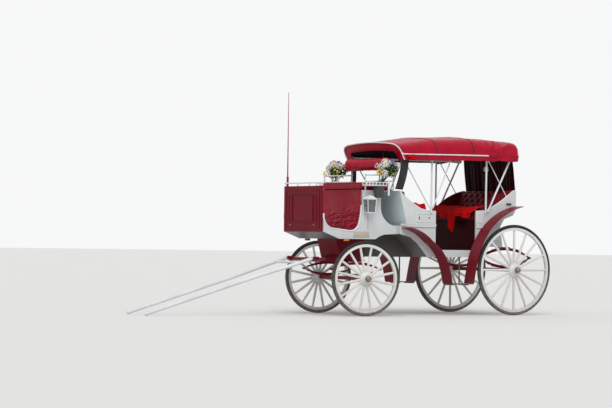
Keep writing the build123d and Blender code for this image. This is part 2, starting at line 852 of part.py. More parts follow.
# Throw blankets over the seats' front edges
with BuildPart() as blankets:
    add(slab((front_seat_front_x + 60, -300, cushion_top + 0.3),
             (F - 700, 300, cushion_top + 8)))
    add(slab((rear_seat_front_x - 180, -420, cushion_top + 0.3),
             (rear_seat_front_x + 20, 420, cushion_top + 8)))
    add(slab((rear_seat_front_x + 12.3, -420, 1100), (rear_seat_front_x + 20, 420,
                                                     cushion_top + 8)))
save(blankets, "blankets")

# Canopy: a crowned skin with rounded shoulders, a hanging edge and an arched front
canopy_front_top_x = F - 385
canopy_front_bottom_x = F - 520
canopy_rear_x = R - 96
# place along the body, crown height, edge height and height of the hanging edge
canopy_ribs = [
    (F - 340, 2132, 1985, 1916),
    (F - 1500, 2248, 2000, 1936),
    (canopy_rear_x, 2212, 2005, 1954),
]


def canopy_rib(x, crown, edge, bottom, inset):
    """The canopy's cross section at one place: upright edge, shoulder arc and crown arc."""
    half = canopy_half_width - inset
    top = crown - inset
    shoulder_y = half - 155
    shoulder_z = edge + (top - edge) * 0.84
    bulge = (half - 34, edge + (shoulder_z - edge) * 0.68)
    with BuildSketch(Plane.YZ.offset(x)) as rib:
        with BuildLine():
            Polyline((-half, edge), (-half, bottom), (half, bottom), (half, edge))
            ThreePointArc((half, edge), bulge, (shoulder_y, shoulder_z))
            ThreePointArc((shoulder_y, shoulder_z), (0, top), (-shoulder_y, shoulder_z))
            ThreePointArc((-shoulder_y, shoulder_z), (-bulge[0], bulge[1]), (-half, edge))
        make_face()
    return rib.sketch


def slanted(setback):
    """The room ahead of the canopy's sloping front face, or of a plane behind it."""
    top_x = canopy_front_top_x - setback
    bottom_x = canopy_front_bottom_x - setback
    slope = (top_x - bottom_x) / (2135 - 1880)
    return across([
        (bottom_x - 60 * slope, 1820),
        (top_x + 65 * slope, 2200),
        (F, 2200),
        (F, 1820),
    ], canopy_half_width + 10)


with BuildPart() as canopy_outside:
    loft([canopy_rib(x, crown, edge, bottom, 0) for x, crown, edge, bottom in canopy_ribs])
with BuildPart() as canopy_inside:
    inner = [canopy_rib(x, crown, edge, bottom - 60, canopy_skin)
             for x, crown, edge, bottom in canopy_ribs]
    loft([inner[0].moved(Location((80, 0, 0))), inner[1], inner[2].moved(Location((-30, 0, 0)))])
    add(slanted(canopy_skin), mode=Mode.SUBTRACT)
with BuildPart() as canopy:
    add(canopy_outside.part)
    add(canopy_inside.part, mode=Mode.SUBTRACT)
    add(slanted(0), mode=Mode.SUBTRACT)
    with BuildSketch(Plane.YZ.offset(canopy_front_bottom_x - 60)):
        with BuildLine():
            Polyline((-500, 1990), (-500, 1800), (500, 1800), (500, 1990))
            ThreePointArc((500, 1990), (488, 2018), (450, 2032))
            ThreePointArc((450, 2032), (0, 2050), (-450, 2032))
            ThreePointArc((-450, 2032), (-488, 2018), (-500, 1990))
        make_face()
    extrude(amount=260, mode=Mode.SUBTRACT)
save(canopy, "canopy")

# Canopy frame: rails, posts, braces and bows, each a bar of its own
frame_z = 1965.0
post_top_z = frame_z - post_radius - frame_gap
rail_front_x = F - 495.7
rail_rear_x = R - 60
front_foot_x = F - 965
rear_foot_x = R + 352
foot_gap = post_radius + brace_radius + 1.5
# foot place and height, top place, radius
posts = [
    (front_foot_x + foot_gap, 1330, rail_front_x - 30, brace_radius),
    (front_foot_x, 1268, front_foot_x - 6, post_radius),
    (front_foot_x - foot_gap, 1330, front_foot_x - 300, brace_radius),
    (rear_foot_x, 1280, rear_foot_x - 6, post_radius),
    (rear_foot_x - foot_gap - 10, 1298, rail_rear_x + 40, post_radius),
]
# place and top height of each bow
bows = [(rail_front_x - 5, 2085), (F - 970, 2124), (F - 1500, 2170), (R + 160, 2150), (R - 45, 2130)]
bow_radius = 9.0
bow_bend = 100.0
bow_foot_z = frame_z + post_radius + seat_gap
stay_y = body_half_width - wall / 2
stay_foot = (R + 18, 1493.4)
with BuildPart() as canopy_frame:
    for side in (-1, 1):
        add(rod((rail_rear_x, side * post_y, frame_z), (rail_front_x, side * post_y, frame_z),
                post_radius))
        for foot_x, foot_z, top_x, radius in posts:
            add(rod((foot_x, side * post_y, foot_z), (top_x, side * post_y, post_top_z), radius))
        foot = (stay_foot[0], side * stay_y, stay_foot[1])
        knee = (stay_foot[0], side * stay_y, stay_foot[1] + 16)
        add(rod(foot, knee, brace_radius - 2))
        add(ball(knee, brace_radius - 2))
        add(rod(knee, (R + 315, side * (stay_y + 3), frame_z), brace_radius - 2))
    for x, top in bows:
        corners = [(x, -post_y, bow_foot_z), (x, -post_y, top), (x, post_y, top),
                   (x, post_y, bow_foot_z)]
        with BuildLine() as bow:
            FilletPolyline(*corners, radius=bow_bend)
        with BuildSketch(Plane.XY.offset(bow_foot_z)):
            with Locations((x, -post_y)):
                Circle(bow_radius)
        sweep(path=bow.wires()[0])
save(canopy_frame, "canopy_frame")

with BuildPart() as rear_curtain:
    add(across([
        (R - 72, 2010),
        (R - 79, 2010),
        (R - 132, 1572 + seat_gap),
        (R - 125, 1572 + seat_gap),
    ], 520))
save(rear_curtain, "rear_curtain")

# Fenders: bent strips outside the body, joined by the steps
# place along the body and height of each point, front end first
front_fender_line = [
    (F - 520, 1080), (F - 720, 1015), (F - 860, 915), (F - 990, 810),
    (F - 1070, 700), (F - 1122, 560), (F - 1160, step_z),
]
rear_fender_line = [
    (R + 663, step_z), (R + 630, 575), (R + 592, 745), (R + 521, 903),
    (R + 420, 1065), (R + 180, 1262), (R - 105, 1370),
]


def bent_strip(points):
    """A face of even thickness along a chain of (x, z) points, three points to each arc."""
    corners = strip(points, fender_thickness)
    outer = corners[:len(points)]
    inner = corners[len(points):]
    with BuildSketch(Plane.XZ.offset(-fender_inner_y - fender_width)) as band:
        with BuildLine():
            for chain in (outer, inner):
                for i in range(0, len(chain) - 1, 2):
                    ThreePointArc(chain[i], chain[i + 1], chain[i + 2])
            Line(outer[-1], inner[0])
            Line(inner[-1], outer[0])
        make_face()
    return band.sketch


for name, line in (("front_fenders", front_fender_line), ("rear_fenders", rear_fender_line)):
    with BuildPart() as fenders:
        extrude(bent_strip(line), amount=fender_width)
        mirror(about=Plane.XZ)
    save(fenders, name)

# The steps hang from bent irons under the body, which stay clear of the tread
step_rear_x = R + 663 + fender_thickness
step_front_x = F - 1160 - fender_thickness
iron_radius = 9.0
iron_y = body_half_width - 34
with BuildPart() as steps:
    for side in (-1, 1):
        low = min(side * fender_inner_y, side * (fender_inner_y + fender_width))
        high = max(side * fender_inner_y, side * (fender_inner_y + fender_width))
        add(slab((step_rear_x, low, step_z - step_thickness), (step_front_x, high, step_z)))
        for x in (step_rear_x + 50, step_front_x - 50):
            arm_z = step_z - step_thickness - iron_radius / 2
            add(rod((x, side * iron_y, body_bottom_z), (x, side * iron_y, arm_z), iron_radius))
            add(ball((x, side * iron_y, arm_z), iron_radius))
            add(rod((x, side * iron_y, arm_z), (x, side * (fender_inner_y + 160), arm_z),
                    iron_radius - 1))
            add(rod((x, side * iron_y, body_bottom_z), (x, side * iron_y, body_bottom_z - 8), 22))
save(steps, "steps")
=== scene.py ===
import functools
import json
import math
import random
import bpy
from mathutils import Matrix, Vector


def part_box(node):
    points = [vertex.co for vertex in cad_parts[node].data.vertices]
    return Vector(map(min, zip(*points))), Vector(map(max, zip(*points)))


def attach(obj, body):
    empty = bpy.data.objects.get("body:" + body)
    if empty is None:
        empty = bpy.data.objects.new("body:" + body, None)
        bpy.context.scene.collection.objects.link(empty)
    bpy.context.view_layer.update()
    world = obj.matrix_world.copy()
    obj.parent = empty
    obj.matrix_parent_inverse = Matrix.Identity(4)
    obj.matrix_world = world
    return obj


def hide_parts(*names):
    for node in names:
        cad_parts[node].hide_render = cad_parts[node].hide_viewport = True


bl_info = {
    "name": "Horse-drawn carriage",
    "version": (1, 0, 0),
    "blender": (4, 5, 0),
    "location": "View3D > Sidebar > Carriage",
    "description": "Dresses the frame of an open passenger carriage: canopy, seats, trim and finishes",
    "category": "Object",
}

import bmesh
import bpy
from bpy.props import FloatProperty, FloatVectorProperty, PointerProperty
from mathutils import Matrix, Vector, noise

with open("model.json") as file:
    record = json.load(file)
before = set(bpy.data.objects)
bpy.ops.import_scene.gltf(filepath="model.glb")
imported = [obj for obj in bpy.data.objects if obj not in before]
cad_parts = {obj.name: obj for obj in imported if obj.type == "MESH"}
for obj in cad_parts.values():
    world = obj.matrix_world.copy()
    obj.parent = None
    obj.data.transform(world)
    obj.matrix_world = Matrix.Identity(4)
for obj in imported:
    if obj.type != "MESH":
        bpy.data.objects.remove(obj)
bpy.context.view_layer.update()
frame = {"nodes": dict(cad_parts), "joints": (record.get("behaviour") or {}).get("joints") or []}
JOINT_PLACE = {joint["name"]: Vector(joint["pos_m"]) for joint in frame["joints"]}
FRONT = JOINT_PLACE["steering"].x
REAR = JOINT_PLACE["rear_left_spin"].x
FRONT_WHEEL = JOINT_PLACE["front_left_spin"].z
REAR_WHEEL = JOINT_PLACE["rear_left_spin"].z
BODY = "carriage"
SIDES = ((1, "left"), (-1, "right"))

# half widths of the boot and of the tubs
BOOT_SIDE = 0.4500
TUB_SIDE = 0.5305
# the recess behind the boot: its foot, below which faces that look down get painted shade, its rear end, and
# the lighter bluish white painted on its faces that look down as painted sky reflection in their shade
RECESS_FOOT = 1.09
RECESS_REAR = FRONT - 0.75
RECESS_PAINTED_SKYLIGHT = (0.76, 0.90, 0.93, 1)
# a face looks down where its normal's Z is less than this
LOOKS_DOWN = -0.12
# the height over which the hoops, inside the canopy, are near black as painted shade, and that of the
# passenger cushions' tops
HOOP_SHADED_ABOVE = 1.984
CUSHION_TOP = 1.296
# depth of a tyre and half the depth of a felloe
TYRE_DEPTH = 0.038
FELLOE_HALF = 0.017
# place of the flower pots along the body
POT_X = FRONT - 0.190
# pressure in a cover that is blown up and the frames that it takes
FILL_PRESSURE = 4.0
FILL_FRAMES = 20
# turn from one bloom to the next round a head, in radians
GOLDEN_ANGLE = 2.399963
# the camera's aim, and the turn of the key light in degrees
AIM = Vector(((FRONT + REAR) / 2 + 1.616, 0, 1.36))
KEY_TURN = (38, 18, 128)
KEY_SPREAD = 40
FLOOR_RADIUS = 160.0


def length(label, text, metres):
    """A length that a user can set."""
    return FloatProperty(name=label, description=text, default=metres, unit="LENGTH")


def tint(label, text, *rgb):
    """A linear colour that a user can set."""
    return FloatVectorProperty(name=label, description=text, default=rgb, subtype="COLOR")


def slant(label, text, degrees):
    """An angle that a user can set."""
    return FloatProperty(name=label, description=text, default=math.radians(degrees), subtype="ANGLE")


class CarriageSizes(bpy.types.PropertyGroup):
    """Sizes of the soft and small pieces, in metres"""

    piping: length("Piping", "Diameter of the canopy's piping", 0.016)
    button_depth: length("Button depth", "How deep the buttons pull the backs", 0.026)
    voxel: length("Pad mesh", "Mesh size of the simulated pads", 0.011)


class CarriageColours(bpy.types.PropertyGroup):
    """Colours of the finishes, linear"""

    white: tint("White", "Body paint", 0.62, 0.64, 0.65)
    maroon: tint("Maroon", "Dash, fenders and running gear", 0.160, 0.004, 0.014)
    crimson: tint("Crimson", "Canopy and driver's seat", 0.39, 0.003, 0.024)
    wine: tint("Wine", "Passenger seats", 0.135, 0.003, 0.010)
    scarlet: tint("Scarlet", "Throws", 0.60, 0.002, 0.003)
    wheel: tint("Wheel", "Wheel paint", 0.69, 0.685, 0.67)
    # dark paint; made 1.5 times lighter, it is also the painted shade on low white faces that look down
    dark: tint("Dark", "Underbody paint", 0.07, 0.068, 0.066)
    floor: tint("Floor", "Studio floor", 0.72, 0.72, 0.71)


class CarriageStage(bpy.types.PropertyGroup):
    """Camera and lights"""

    lens: FloatProperty(name="Lens", description="Focal length on a 36 mm wide frame, in millimetres",
                        default=143.76)
    azimuth: slant("Azimuth", "Camera's heading from the object", 32.7)
    dip: slant("Dip", "Camera's height angle", -0.83)
    roll: slant("Roll", "Camera's roll", 0.71)
    distance: length("Distance", "Camera to its aim", 30.0)
    sky: FloatProperty(name="Sky", description="Strength of the even light", default=0.62)
    sun: FloatProperty(name="Sun", description="Strength of the soft key light", default=1.75)


# Shader nodes

def feed(tree, node, values):
    """Link a socket to, or set a value at, each named input of a node."""
    for key, value in values.items():
        if isinstance(value, bpy.types.NodeSocket):
            tree.links.new(value, node.inputs[key])
        else:
            node.inputs[key].default_value = value


def adder(tree):
    """A short way to add a node with its settings and inputs to a tree."""
    def add(kind, values=None, **settings):
        node = tree.nodes.new(kind)
        for key, value in settings.items():
            setattr(node, key, value)
        feed(tree, node, values or {})
        return node
    return add


def calc(add, operation, *values, clamp=False):
    """The result of a Math node."""
    return add("ShaderNodeMath", dict(enumerate(values)), operation=operation, use_clamp=clamp).outputs[0]


def remap(add, value, low, high, to_low=0.0, to_high=1.0):
    """A value carried from one range to another."""
    return add("ShaderNodeMapRange", {"Value": value, "From Min": low, "From Max": high,
                                      "To Min": to_low, "To Max": to_high}).outputs["Result"]


def cloudy(add, place, scale, **inputs):
    """Noise of a scale at a place."""
    return add("ShaderNodeTexNoise", {"Vector": place, "Scale": scale, **inputs}).outputs["Fac"]


def toned(add, colour, factor):
    """A colour times a factor."""
    return add("ShaderNodeVectorMath", {0: colour, "Scale": factor}, operation="SCALE").outputs["Vector"]


def two_tones(add, mask, first, second):
    """The first colour where the mask is 0 and the second where it is 1."""
    return add("ShaderNodeMix", {0: mask, 6: first, 7: second}, data_type="RGBA").outputs[2]


def split(add, vector):
    """The X, Y and Z of a vector."""
    return add("ShaderNodeSeparateXYZ", {"Vector": vector}).outputs


def bumped(add, height, strength, distance):
    """A normal that follows a height."""
    return add("ShaderNodeBump", {"Height": height, "Strength": strength,
                                  "Distance": distance}).outputs["Normal"]


SOCKET_KINDS = {type(None): "NodeSocketVector", tuple: "NodeSocketColor", float: "NodeSocketFloat"}


def make_group(name, inputs, outputs):
    """An empty node group with named sockets: gives it, its node maker and the sockets of its inputs."""
    group = bpy.data.node_groups.new(name, "ShaderNodeTree")
    for label, value in inputs.items():
        socket = group.interface.new_socket(label, in_out="INPUT", socket_type=SOCKET_KINDS[type(value)])
        if value is not None:
            socket.default_value = value
    for label in outputs:
        kind = "NodeSocketColor" if label == "Colour" else "NodeSocketFloat"
        group.interface.new_socket(label, in_out="OUTPUT", socket_type=kind)
    add = adder(group)
    return group, add, add("NodeGroupInput").outputs


@functools.cache
def weathering_group():
    """Paint that has stood outside: faint mottling, road dust low down, orange peel."""
    group, add, given = make_group("Weathering", {
        "Vector": None, "Colour": (0.5, 0.5, 0.5, 1), "Dust": (0.33, 0.30, 0.26, 1), "Dust amount": 0.5,
        "Dust height": 0.9, "Roughness": 0.3}, ["Colour", "Roughness", "Height"])
    place = given["Vector"]
    fine = cloudy(add, place, 38.0, Detail=6.0, Roughness=0.65)
    mottle = remap(add, cloudy(add, place, 3.5, Detail=3.0), 0.3, 0.7, 0.9, 1.04)
    low = remap(add, split(add, place)["Z"], 0.0, given["Dust height"], 1.0, 0.0)
    specks = calc(add, "MULTIPLY", low, remap(add, fine, 0.38, 0.72))
    dust = calc(add, "ADD", specks, calc(add, "MULTIPLY", low, 0.35))
    dust = calc(add, "MULTIPLY", dust, given["Dust amount"], clamp=True)
    rough = calc(add, "MULTIPLY_ADD", dust, 0.45, given["Roughness"], clamp=True)
    add("NodeGroupOutput", {
        "Colour": two_tones(add, dust, toned(add, given["Colour"], mottle), given["Dust"]),
        "Roughness": calc(add, "MULTIPLY_ADD", fine, 0.12, rough, clamp=True),
        "Height": cloudy(add, place, 260.0, Detail=1.0)})
    return group


@functools.cache
def hide_group():
    """Coated cloth or leather: fine grain, soft creases and faint wear."""
    group, add, given = make_group("Hide grain", {
        "Vector": None, "Colour": (0.5, 0.1, 0.1, 1), "Grain": 420.0, "Creases": 0.5},
        ["Colour", "Roughness", "Height"])
    place = given["Vector"]
    grain = add("ShaderNodeTexVoronoi", {"Vector": place, "Scale": given["Grain"]}).outputs["Distance"]
    wear = cloudy(add, place, 5.0, Detail=4.0, Distortion=1.2)
    crease = remap(add, cloudy(add, place, 14.0, Detail=5.0, Distortion=2.0), 0.42, 0.58)
    depth = calc(add, "MULTIPLY", crease, given["Creases"])
    add("NodeGroupOutput", {
        "Colour": toned(add, given["Colour"], remap(add, wear, 0.3, 0.7, 0.82, 1.08)),
        "Roughness": remap(add, wear, 0.3, 0.7, 0.30, 0.48),
        "Height": calc(add, "MULTIPLY_ADD", grain, 0.25, depth)})
    return group


@functools.cache
def weave_group():
    """Woven cloth: crossed threads and a soft change of tone."""
    group, add, given = make_group("Weave", {
        "Vector": None, "Colour": (0.5, 0.0, 0.0, 1), "Threads": 260.0}, ["Colour", "Height"])
    place = given["Vector"]
    waves = []
    for axis in "XYZ":
        wave = add("ShaderNodeTexWave", {"Vector": place, "Scale": given["Threads"], "Distortion": 0.6,
                                         "Detail": 1.0}, bands_direction=axis)
        waves.append(wave.outputs["Fac"])
    tone = remap(add, cloudy(add, place, 9.0, Detail=4.0), 0.3, 0.7, 0.8, 1.1)
    add("NodeGroupOutput", {
        "Colour": toned(add, given["Colour"], tone),
        "Height": calc(add, "ADD", calc(add, "ADD", waves[0], waves[1]), waves[2])})
    return group


MATERIALS = {}


def start_material(name):
    """A new material: gives its node maker, its object coordinates and a way to set its shader."""
    material = bpy.data.materials.new(name)
    material.use_nodes = True
    MATERIALS[name] = material
    tree = material.node_tree
    add = adder(tree)
    place = add("ShaderNodeTexCoord").outputs["Object"]
    return add, place, lambda values: feed(tree, tree.nodes["Principled BSDF"], values)


def painted(name, colour, roughness=0.3, coat=0.1, dust=0.5, dust_height=0.9, metal=0.0, gloss=0.3,
            painted_shade_below=None, painted_shade_above=None):
    """Gloss paint with dust and orange peel. Faces that look down can take a given colour as painted shade
    low on the body, and a lighter bluish white as painted sky reflection in the recess behind the boot; a
    given height can take a colour over it as painted shade."""
    add, place, finish = start_material(name)
    shade = (*colour, 1)
    if painted_shade_below or painted_shade_above:
        spot = split(add, place)
    # faces that look down and lie low on the body take the given colour as painted shade
    if painted_shade_below:
        look = split(add, add("ShaderNodeNewGeometry").outputs["True Normal"])
        down = calc(add, "LESS_THAN", look["Z"], LOOKS_DOWN)
        low = calc(add, "MULTIPLY", down, calc(add, "LESS_THAN", spot["Z"], RECESS_FOOT))
        shade = two_tones(add, low, shade, (*painted_shade_below, 1))
        # higher faces that look down, in the recess behind the boot, get a lighter bluish white as painted
        # sky reflection
        recess = calc(add, "MULTIPLY", calc(add, "SUBTRACT", down, low),
                      calc(add, "GREATER_THAN", spot["X"], RECESS_REAR))
        shade = two_tones(add, recess, shade, RECESS_PAINTED_SKYLIGHT)
    # over the given height the given colour is painted shade
    if painted_shade_above:
        shade = two_tones(add, calc(add, "GREATER_THAN", spot["Z"], painted_shade_above[0]), shade, (*painted_shade_above[1], 1))
    paint = add("ShaderNodeGroup", {
        "Vector": place, "Colour": shade, "Dust amount": dust, "Dust height": dust_height,
        "Roughness": roughness}, node_tree=weathering_group()).outputs
    finish({"Base Color": paint["Colour"], "Roughness": paint["Roughness"], "Metallic": metal,
            "Specular IOR Level": gloss, "Coat Weight": coat, "Coat Roughness": 0.12,
            "Normal": bumped(add, paint["Height"], 0.06, 0.001)})


def hide(name, colour, grain=420.0, creases=0.5, coat=0.05, gloss=0.22):
    """Coated cloth or leather."""
    add, place, finish = start_material(name)
    skin = add("ShaderNodeGroup", {"Vector": place, "Colour": (*colour, 1), "Grain": grain,
                                   "Creases": creases}, node_tree=hide_group()).outputs
    finish({"Base Color": skin["Colour"], "Roughness": skin["Roughness"], "Coat Weight": coat,
            "Coat Roughness": 0.3, "Specular IOR Level": gloss,
            "Normal": bumped(add, skin["Height"], 0.25, 0.002)})


def woven(name, colour, threads=300.0, roughness=0.85, sheen=0.0):
    """Woven cloth."""
    add, place, finish = start_material(name)
    cloth = add("ShaderNodeGroup", {"Vector": place, "Colour": (*colour, 1), "Threads": threads},
                node_tree=weave_group()).outputs
    finish({"Base Color": cloth["Colour"], "Roughness": roughness, "Specular IOR Level": 0.1,
            "Sheen Weight": sheen, "Normal": bumped(add, cloth["Height"], 0.2, 0.001)})


def tinted(colour, share):
    """A colour made darker or lighter."""
    return [value * share for value in colour]


def build_materials(colours):
    """Every finish of the carriage."""
    trim = tinted(colours.white, 1.12)
    # white paint: faces that look down get painted shade low on the body and painted sky reflection in the
    # recess behind the boot
    painted("white paint", colours.white, roughness=0.28, dust=0.35, dust_height=1.3,
            painted_shade_below=tinted(colours.dark, 1.5))
    painted("white trim", trim, dust=0.2)
    # the canopy frame: white trim, and near black over a height inside the canopy as painted shade
    painted("hoop paint and shade", trim, dust=0.2, painted_shade_above=(HOOP_SHADED_ABOVE, (0.016, 0.010, 0.011)))
    painted("maroon paint", colours.maroon, coat=0.03, dust=0.08, dust_height=0.8, gloss=0.08)
    painted("fender maroon", tinted(colours.maroon, 1.15), roughness=0.28, coat=0.04, dust=0.06,
            dust_height=1.0, gloss=0.09)
    painted("wheel paint", colours.wheel, roughness=0.35, dust_height=0.7)
    painted("dark paint", colours.dark, roughness=0.5, coat=0.0)
    painted("tyre rubber", (0.022, 0.023, 0.023), roughness=0.75, coat=0.0, dust=0.55, dust_height=0.8)
    painted("cap metal", (0.26, 0.22, 0.17), roughness=0.38, coat=0.0, dust=0.3, metal=0.85, gloss=0.5)
    painted("steel", (0.45, 0.45, 0.46), roughness=0.28, coat=0.0, dust=0.2, metal=1.0, gloss=0.5)
    painted("red rod", (0.30, 0.008, 0.012), roughness=0.35, dust=0.0)
    painted("amber lens", (0.75, 0.22, 0.01), roughness=0.2, dust=0.0)
    painted("lamp lens", (0.85, 0.85, 0.82), roughness=0.35, dust=0.0)
    painted("blank plate", (0.50, 0.44, 0.36), roughness=0.5, dust=0.1)
    painted("pot", (0.055, 0.058, 0.056), roughness=0.4, dust=0.3, dust_height=1.8)
    hide("canopy hide", colours.crimson, grain=520.0, creases=0.25, coat=0.08, gloss=0.10)
    hide("canopy lining", (0.010, 0.008, 0.009), grain=300.0, creases=0.3, coat=0.0, gloss=0.1)
    hide("driver hide", tinted(colours.crimson, 0.85), grain=480.0, creases=0.6, coat=0.12, gloss=0.12)
    hide("wine hide", colours.wine, grain=480.0, creases=0.6, coat=0.0, gloss=0.09)
    # the seat boxes and deck: the wine hide at about a quarter of its brightness, partly their own dark
    # maroon and partly painted shade
    hide("shaded seat box hide", tinted(colours.wine, 0.26), grain=480.0, creases=0.3, coat=0.0, gloss=0.03)
    hide("curtain hide", (0.022, 0.0008, 0.003), grain=400.0, coat=0.0, gloss=0.03)
    hide("band hide", (0.13, 0.006, 0.018), grain=520.0, creases=0.2)
    hide("piping hide", (0.72, 0.72, 0.72), grain=600.0, creases=0.1)
    woven("scarlet cloth", colours.scarlet, threads=260.0)
    woven("strap webbing", (0.045, 0.045, 0.050), threads=420.0)
    woven("leaf", (0.03, 0.09, 0.02), threads=200.0, roughness=0.55)
    woven("white petal", (0.75, 0.74, 0.70), sheen=0.1)
    woven("yellow petal", (0.88, 0.62, 0.02), sheen=0.1)
    woven("purple petal", (0.24, 0.13, 0.46), sheen=0.1)
    finish = start_material("lantern glass")[2]
    finish({"Base Color": (0.30, 0.34, 0.33, 1), "Transmission Weight": 0.7, "Roughness": 0.06})


# Mesh helpers

def to_piece(bm, name, materials, body=BODY, replaces=(), crease=35.0):
    """Turn a bmesh into a finished piece that rides on a body."""
    limit = math.radians(crease)
    for face in bm.faces:
        face.smooth = True
    for edge in bm.edges:
        edge.smooth = edge.calc_face_angle(0.0) < limit
    mesh = bpy.data.meshes.new(name)
    bm.to_mesh(mesh)
    bm.free()
    return place_piece(bpy.data.objects.new(name, mesh), materials, body, replaces)


def place_piece(obj, materials, body=BODY, replaces=()):
    """Link an object, give it its finishes and fasten it to its body."""
    if obj.name not in bpy.context.scene.collection.objects:
        bpy.context.scene.collection.objects.link(obj)
    if obj.data.materials:
        obj.data.materials.clear()
    for material in materials:
        obj.data.materials.append(MATERIALS[material])
    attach(obj, body)
    if replaces:
        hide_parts(*replaces)
    return obj


def add_modifier(obj, kind, **settings):
    """Add a modifier with its settings."""
    modifier = obj.modifiers.new(kind.title(), kind)
    for key, value in settings.items():
        setattr(modifier, key, value)
    return modifier


def add_sheet(bm, columns, rows, surface):
    """Add a grid whose points are moved onto surface(across 0..1, along 0..1)."""
    for vertex in bmesh.ops.create_grid(bm, x_segments=columns, y_segments=rows, size=0.5)["verts"]:
        vertex.co = Vector(surface(vertex.co.x + 0.5, vertex.co.y + 0.5))


def sheet_of(columns, rows, surface):
    """A mesh of one such grid, its faces all turned one way."""
    bm = bmesh.new()
    add_sheet(bm, columns, rows, surface)
    bmesh.ops.recalc_face_normals(bm, faces=bm.faces)
    return bm


def thick_sheet(bm, name, materials, slot, thickness, offset=0.0, replaces=(), crease=80, **settings):
    """A sheet that is given its thickness and made a finished piece."""
    obj = to_piece(bm, name, materials, replaces=replaces, crease=crease)
    add_modifier(obj, "SOLIDIFY", thickness=thickness, offset=offset, **settings)
    return obj


def bead(name, points, radius, material, closed=False):
    """A round bead along points, as a finished piece."""
    curve = bpy.data.curves.new(name, "CURVE")
    curve.dimensions = "3D"
    curve.bevel_depth = radius
    curve.bevel_resolution = 3
    curve.use_fill_caps = True
    spline = curve.splines.new("POLY")
    spline.points.add(len(points) - 1)
    for point, place in zip(spline.points, points):
        point.co = (*place, 1)
    spline.use_cyclic_u = closed
    spline.use_smooth = True
    return place_piece(bpy.data.objects.new(name, curve), [material])


def outward(bm, inside):
    """Turn an open sheet's faces away from a point inside it."""
    total = sum((face.calc_center_median() - Vector(inside)).dot(face.normal) for face in bm.faces)
    if total < 0:
        bmesh.ops.reverse_faces(bm, faces=bm.faces)
    return bm


def arc_points(first, middle, last, count=16):
    """Points along the arc through three (x, z) points."""
    (ax, az), (bx, bz), (cx, cz) = first, middle, last
    d = 2 * (ax * (bz - cz) + bx * (cz - az) + cx * (az - bz))
    a2, b2, c2 = ax * ax + az * az, bx * bx + bz * bz, cx * cx + cz * cz
    ox = (a2 * (bz - cz) + b2 * (cz - az) + c2 * (az - bz)) / d
    oz = (a2 * (cx - bx) + b2 * (ax - cx) + c2 * (bx - ax)) / d
    radius = math.hypot(ax - ox, az - oz)
    start = math.atan2(az - oz, ax - ox)
    half = math.atan2(bz - oz, bx - ox) - start
    turn = math.atan2(cz - oz, cx - ox) - start
    half = math.remainder(half, 2 * math.pi)
    turn = math.remainder(turn, 2 * math.pi)
    if half * turn < 0 or abs(half) > abs(turn):
        turn -= math.copysign(2 * math.pi, turn)
    angles = [start + turn * i / count for i in range(count + 1)]
    return [(ox + radius * math.cos(a), oz + radius * math.sin(a)) for a in angles]


def round_off(bm, edges, offset, segments):
    """Round some edges of a mesh."""
    bmesh.ops.bevel(bm, geom=edges, offset=offset, offset_type="OFFSET", segments=segments, profile=0.5,
                    affect="EDGES", material=-1)


def add_box(bm, first, last, bevel=0.0, segments=2):
    """Add a block between two opposite corners to a mesh, with rounded edges."""
    low, high = (Vector(corner) for corner in zip(*(sorted(pair) for pair in zip(first, last))))
    made = bmesh.ops.create_cube(bm, size=1.0)["verts"]
    bmesh.ops.scale(bm, vec=high - low, verts=made)
    bmesh.ops.translate(bm, vec=(low + high) / 2, verts=made)
    if bevel:
        corners = set(made)
        round_off(bm, [edge for edge in bm.edges if corners.issuperset(edge.verts)], bevel, segments)


def add_bar(bm, first, last, radius, segments=12):
    """Add a round bar between two points."""
    first, last = Vector(first), Vector(last)
    run = last - first
    turn = run.to_track_quat("Z", "Y").to_matrix().to_4x4()
    bmesh.ops.create_cone(bm, cap_ends=True, segments=segments, radius1=radius, radius2=radius,
                          depth=run.length, matrix=Matrix.Translation((first + last) / 2) @ turn)


def add_ball(bm, place, radius, scale=(1, 1, 1), segments=16, rings=8):
    """Add a ball, stretched along the axes."""
    size = Matrix.Diagonal((*scale, 1))
    bmesh.ops.create_uvsphere(bm, u_segments=segments, v_segments=rings, radius=radius,
                              matrix=Matrix.Translation(place) @ size)


def bake(obj):
    """Put what the modifiers make into the mesh and drop them."""
    graph = bpy.context.evaluated_depsgraph_get()
    mesh = bpy.data.meshes.new_from_object(obj.evaluated_get(graph))
    obj.modifiers.clear()
    obj.data = mesh


# Padded pieces

def even_block(name, low, high, bevel, voxel):
    """A rounded block with an even mesh, linked so that it can be simulated."""
    obj = bpy.data.objects.new(name, bpy.data.meshes.new(name))
    bm = bmesh.new()
    add_box(bm, low, high, bevel, 4)
    bm.to_mesh(obj.data)
    bm.free()
    bpy.context.scene.collection.objects.link(obj)
    add_modifier(obj, "REMESH", mode="VOXEL", voxel_size=voxel)
    bake(obj)
    return obj


def fill_cover(obj, held, cap):
    """Blow a cover up from inside; held(point) is 1 at a seam and cap is how far a point may move."""
    start = [vertex.co.copy() for vertex in obj.data.vertices]
    seams = obj.vertex_groups.new(name="seams")
    for vertex in obj.data.vertices:
        seams.add([vertex.index], held(vertex.co), "REPLACE")
    cloth = obj.modifiers.new("Filling", "CLOTH")
    cloth.settings.vertex_group_mass = "seams"
    cloth.settings.use_pressure = True
    cloth.settings.uniform_pressure_force = FILL_PRESSURE
    cloth.settings.effector_weights.gravity = 0.0
    for number in range(1, FILL_FRAMES + 1):
        bpy.context.scene.frame_set(number)
    bake(obj)
    bpy.context.scene.frame_set(1)
    obj.vertex_groups.clear()
    for vertex, place in zip(obj.data.vertices, start):
        move = vertex.co - place
        if move.length > 1e-6:
            vertex.co = place + move.normalized() * cap * math.tanh(move.length / cap)


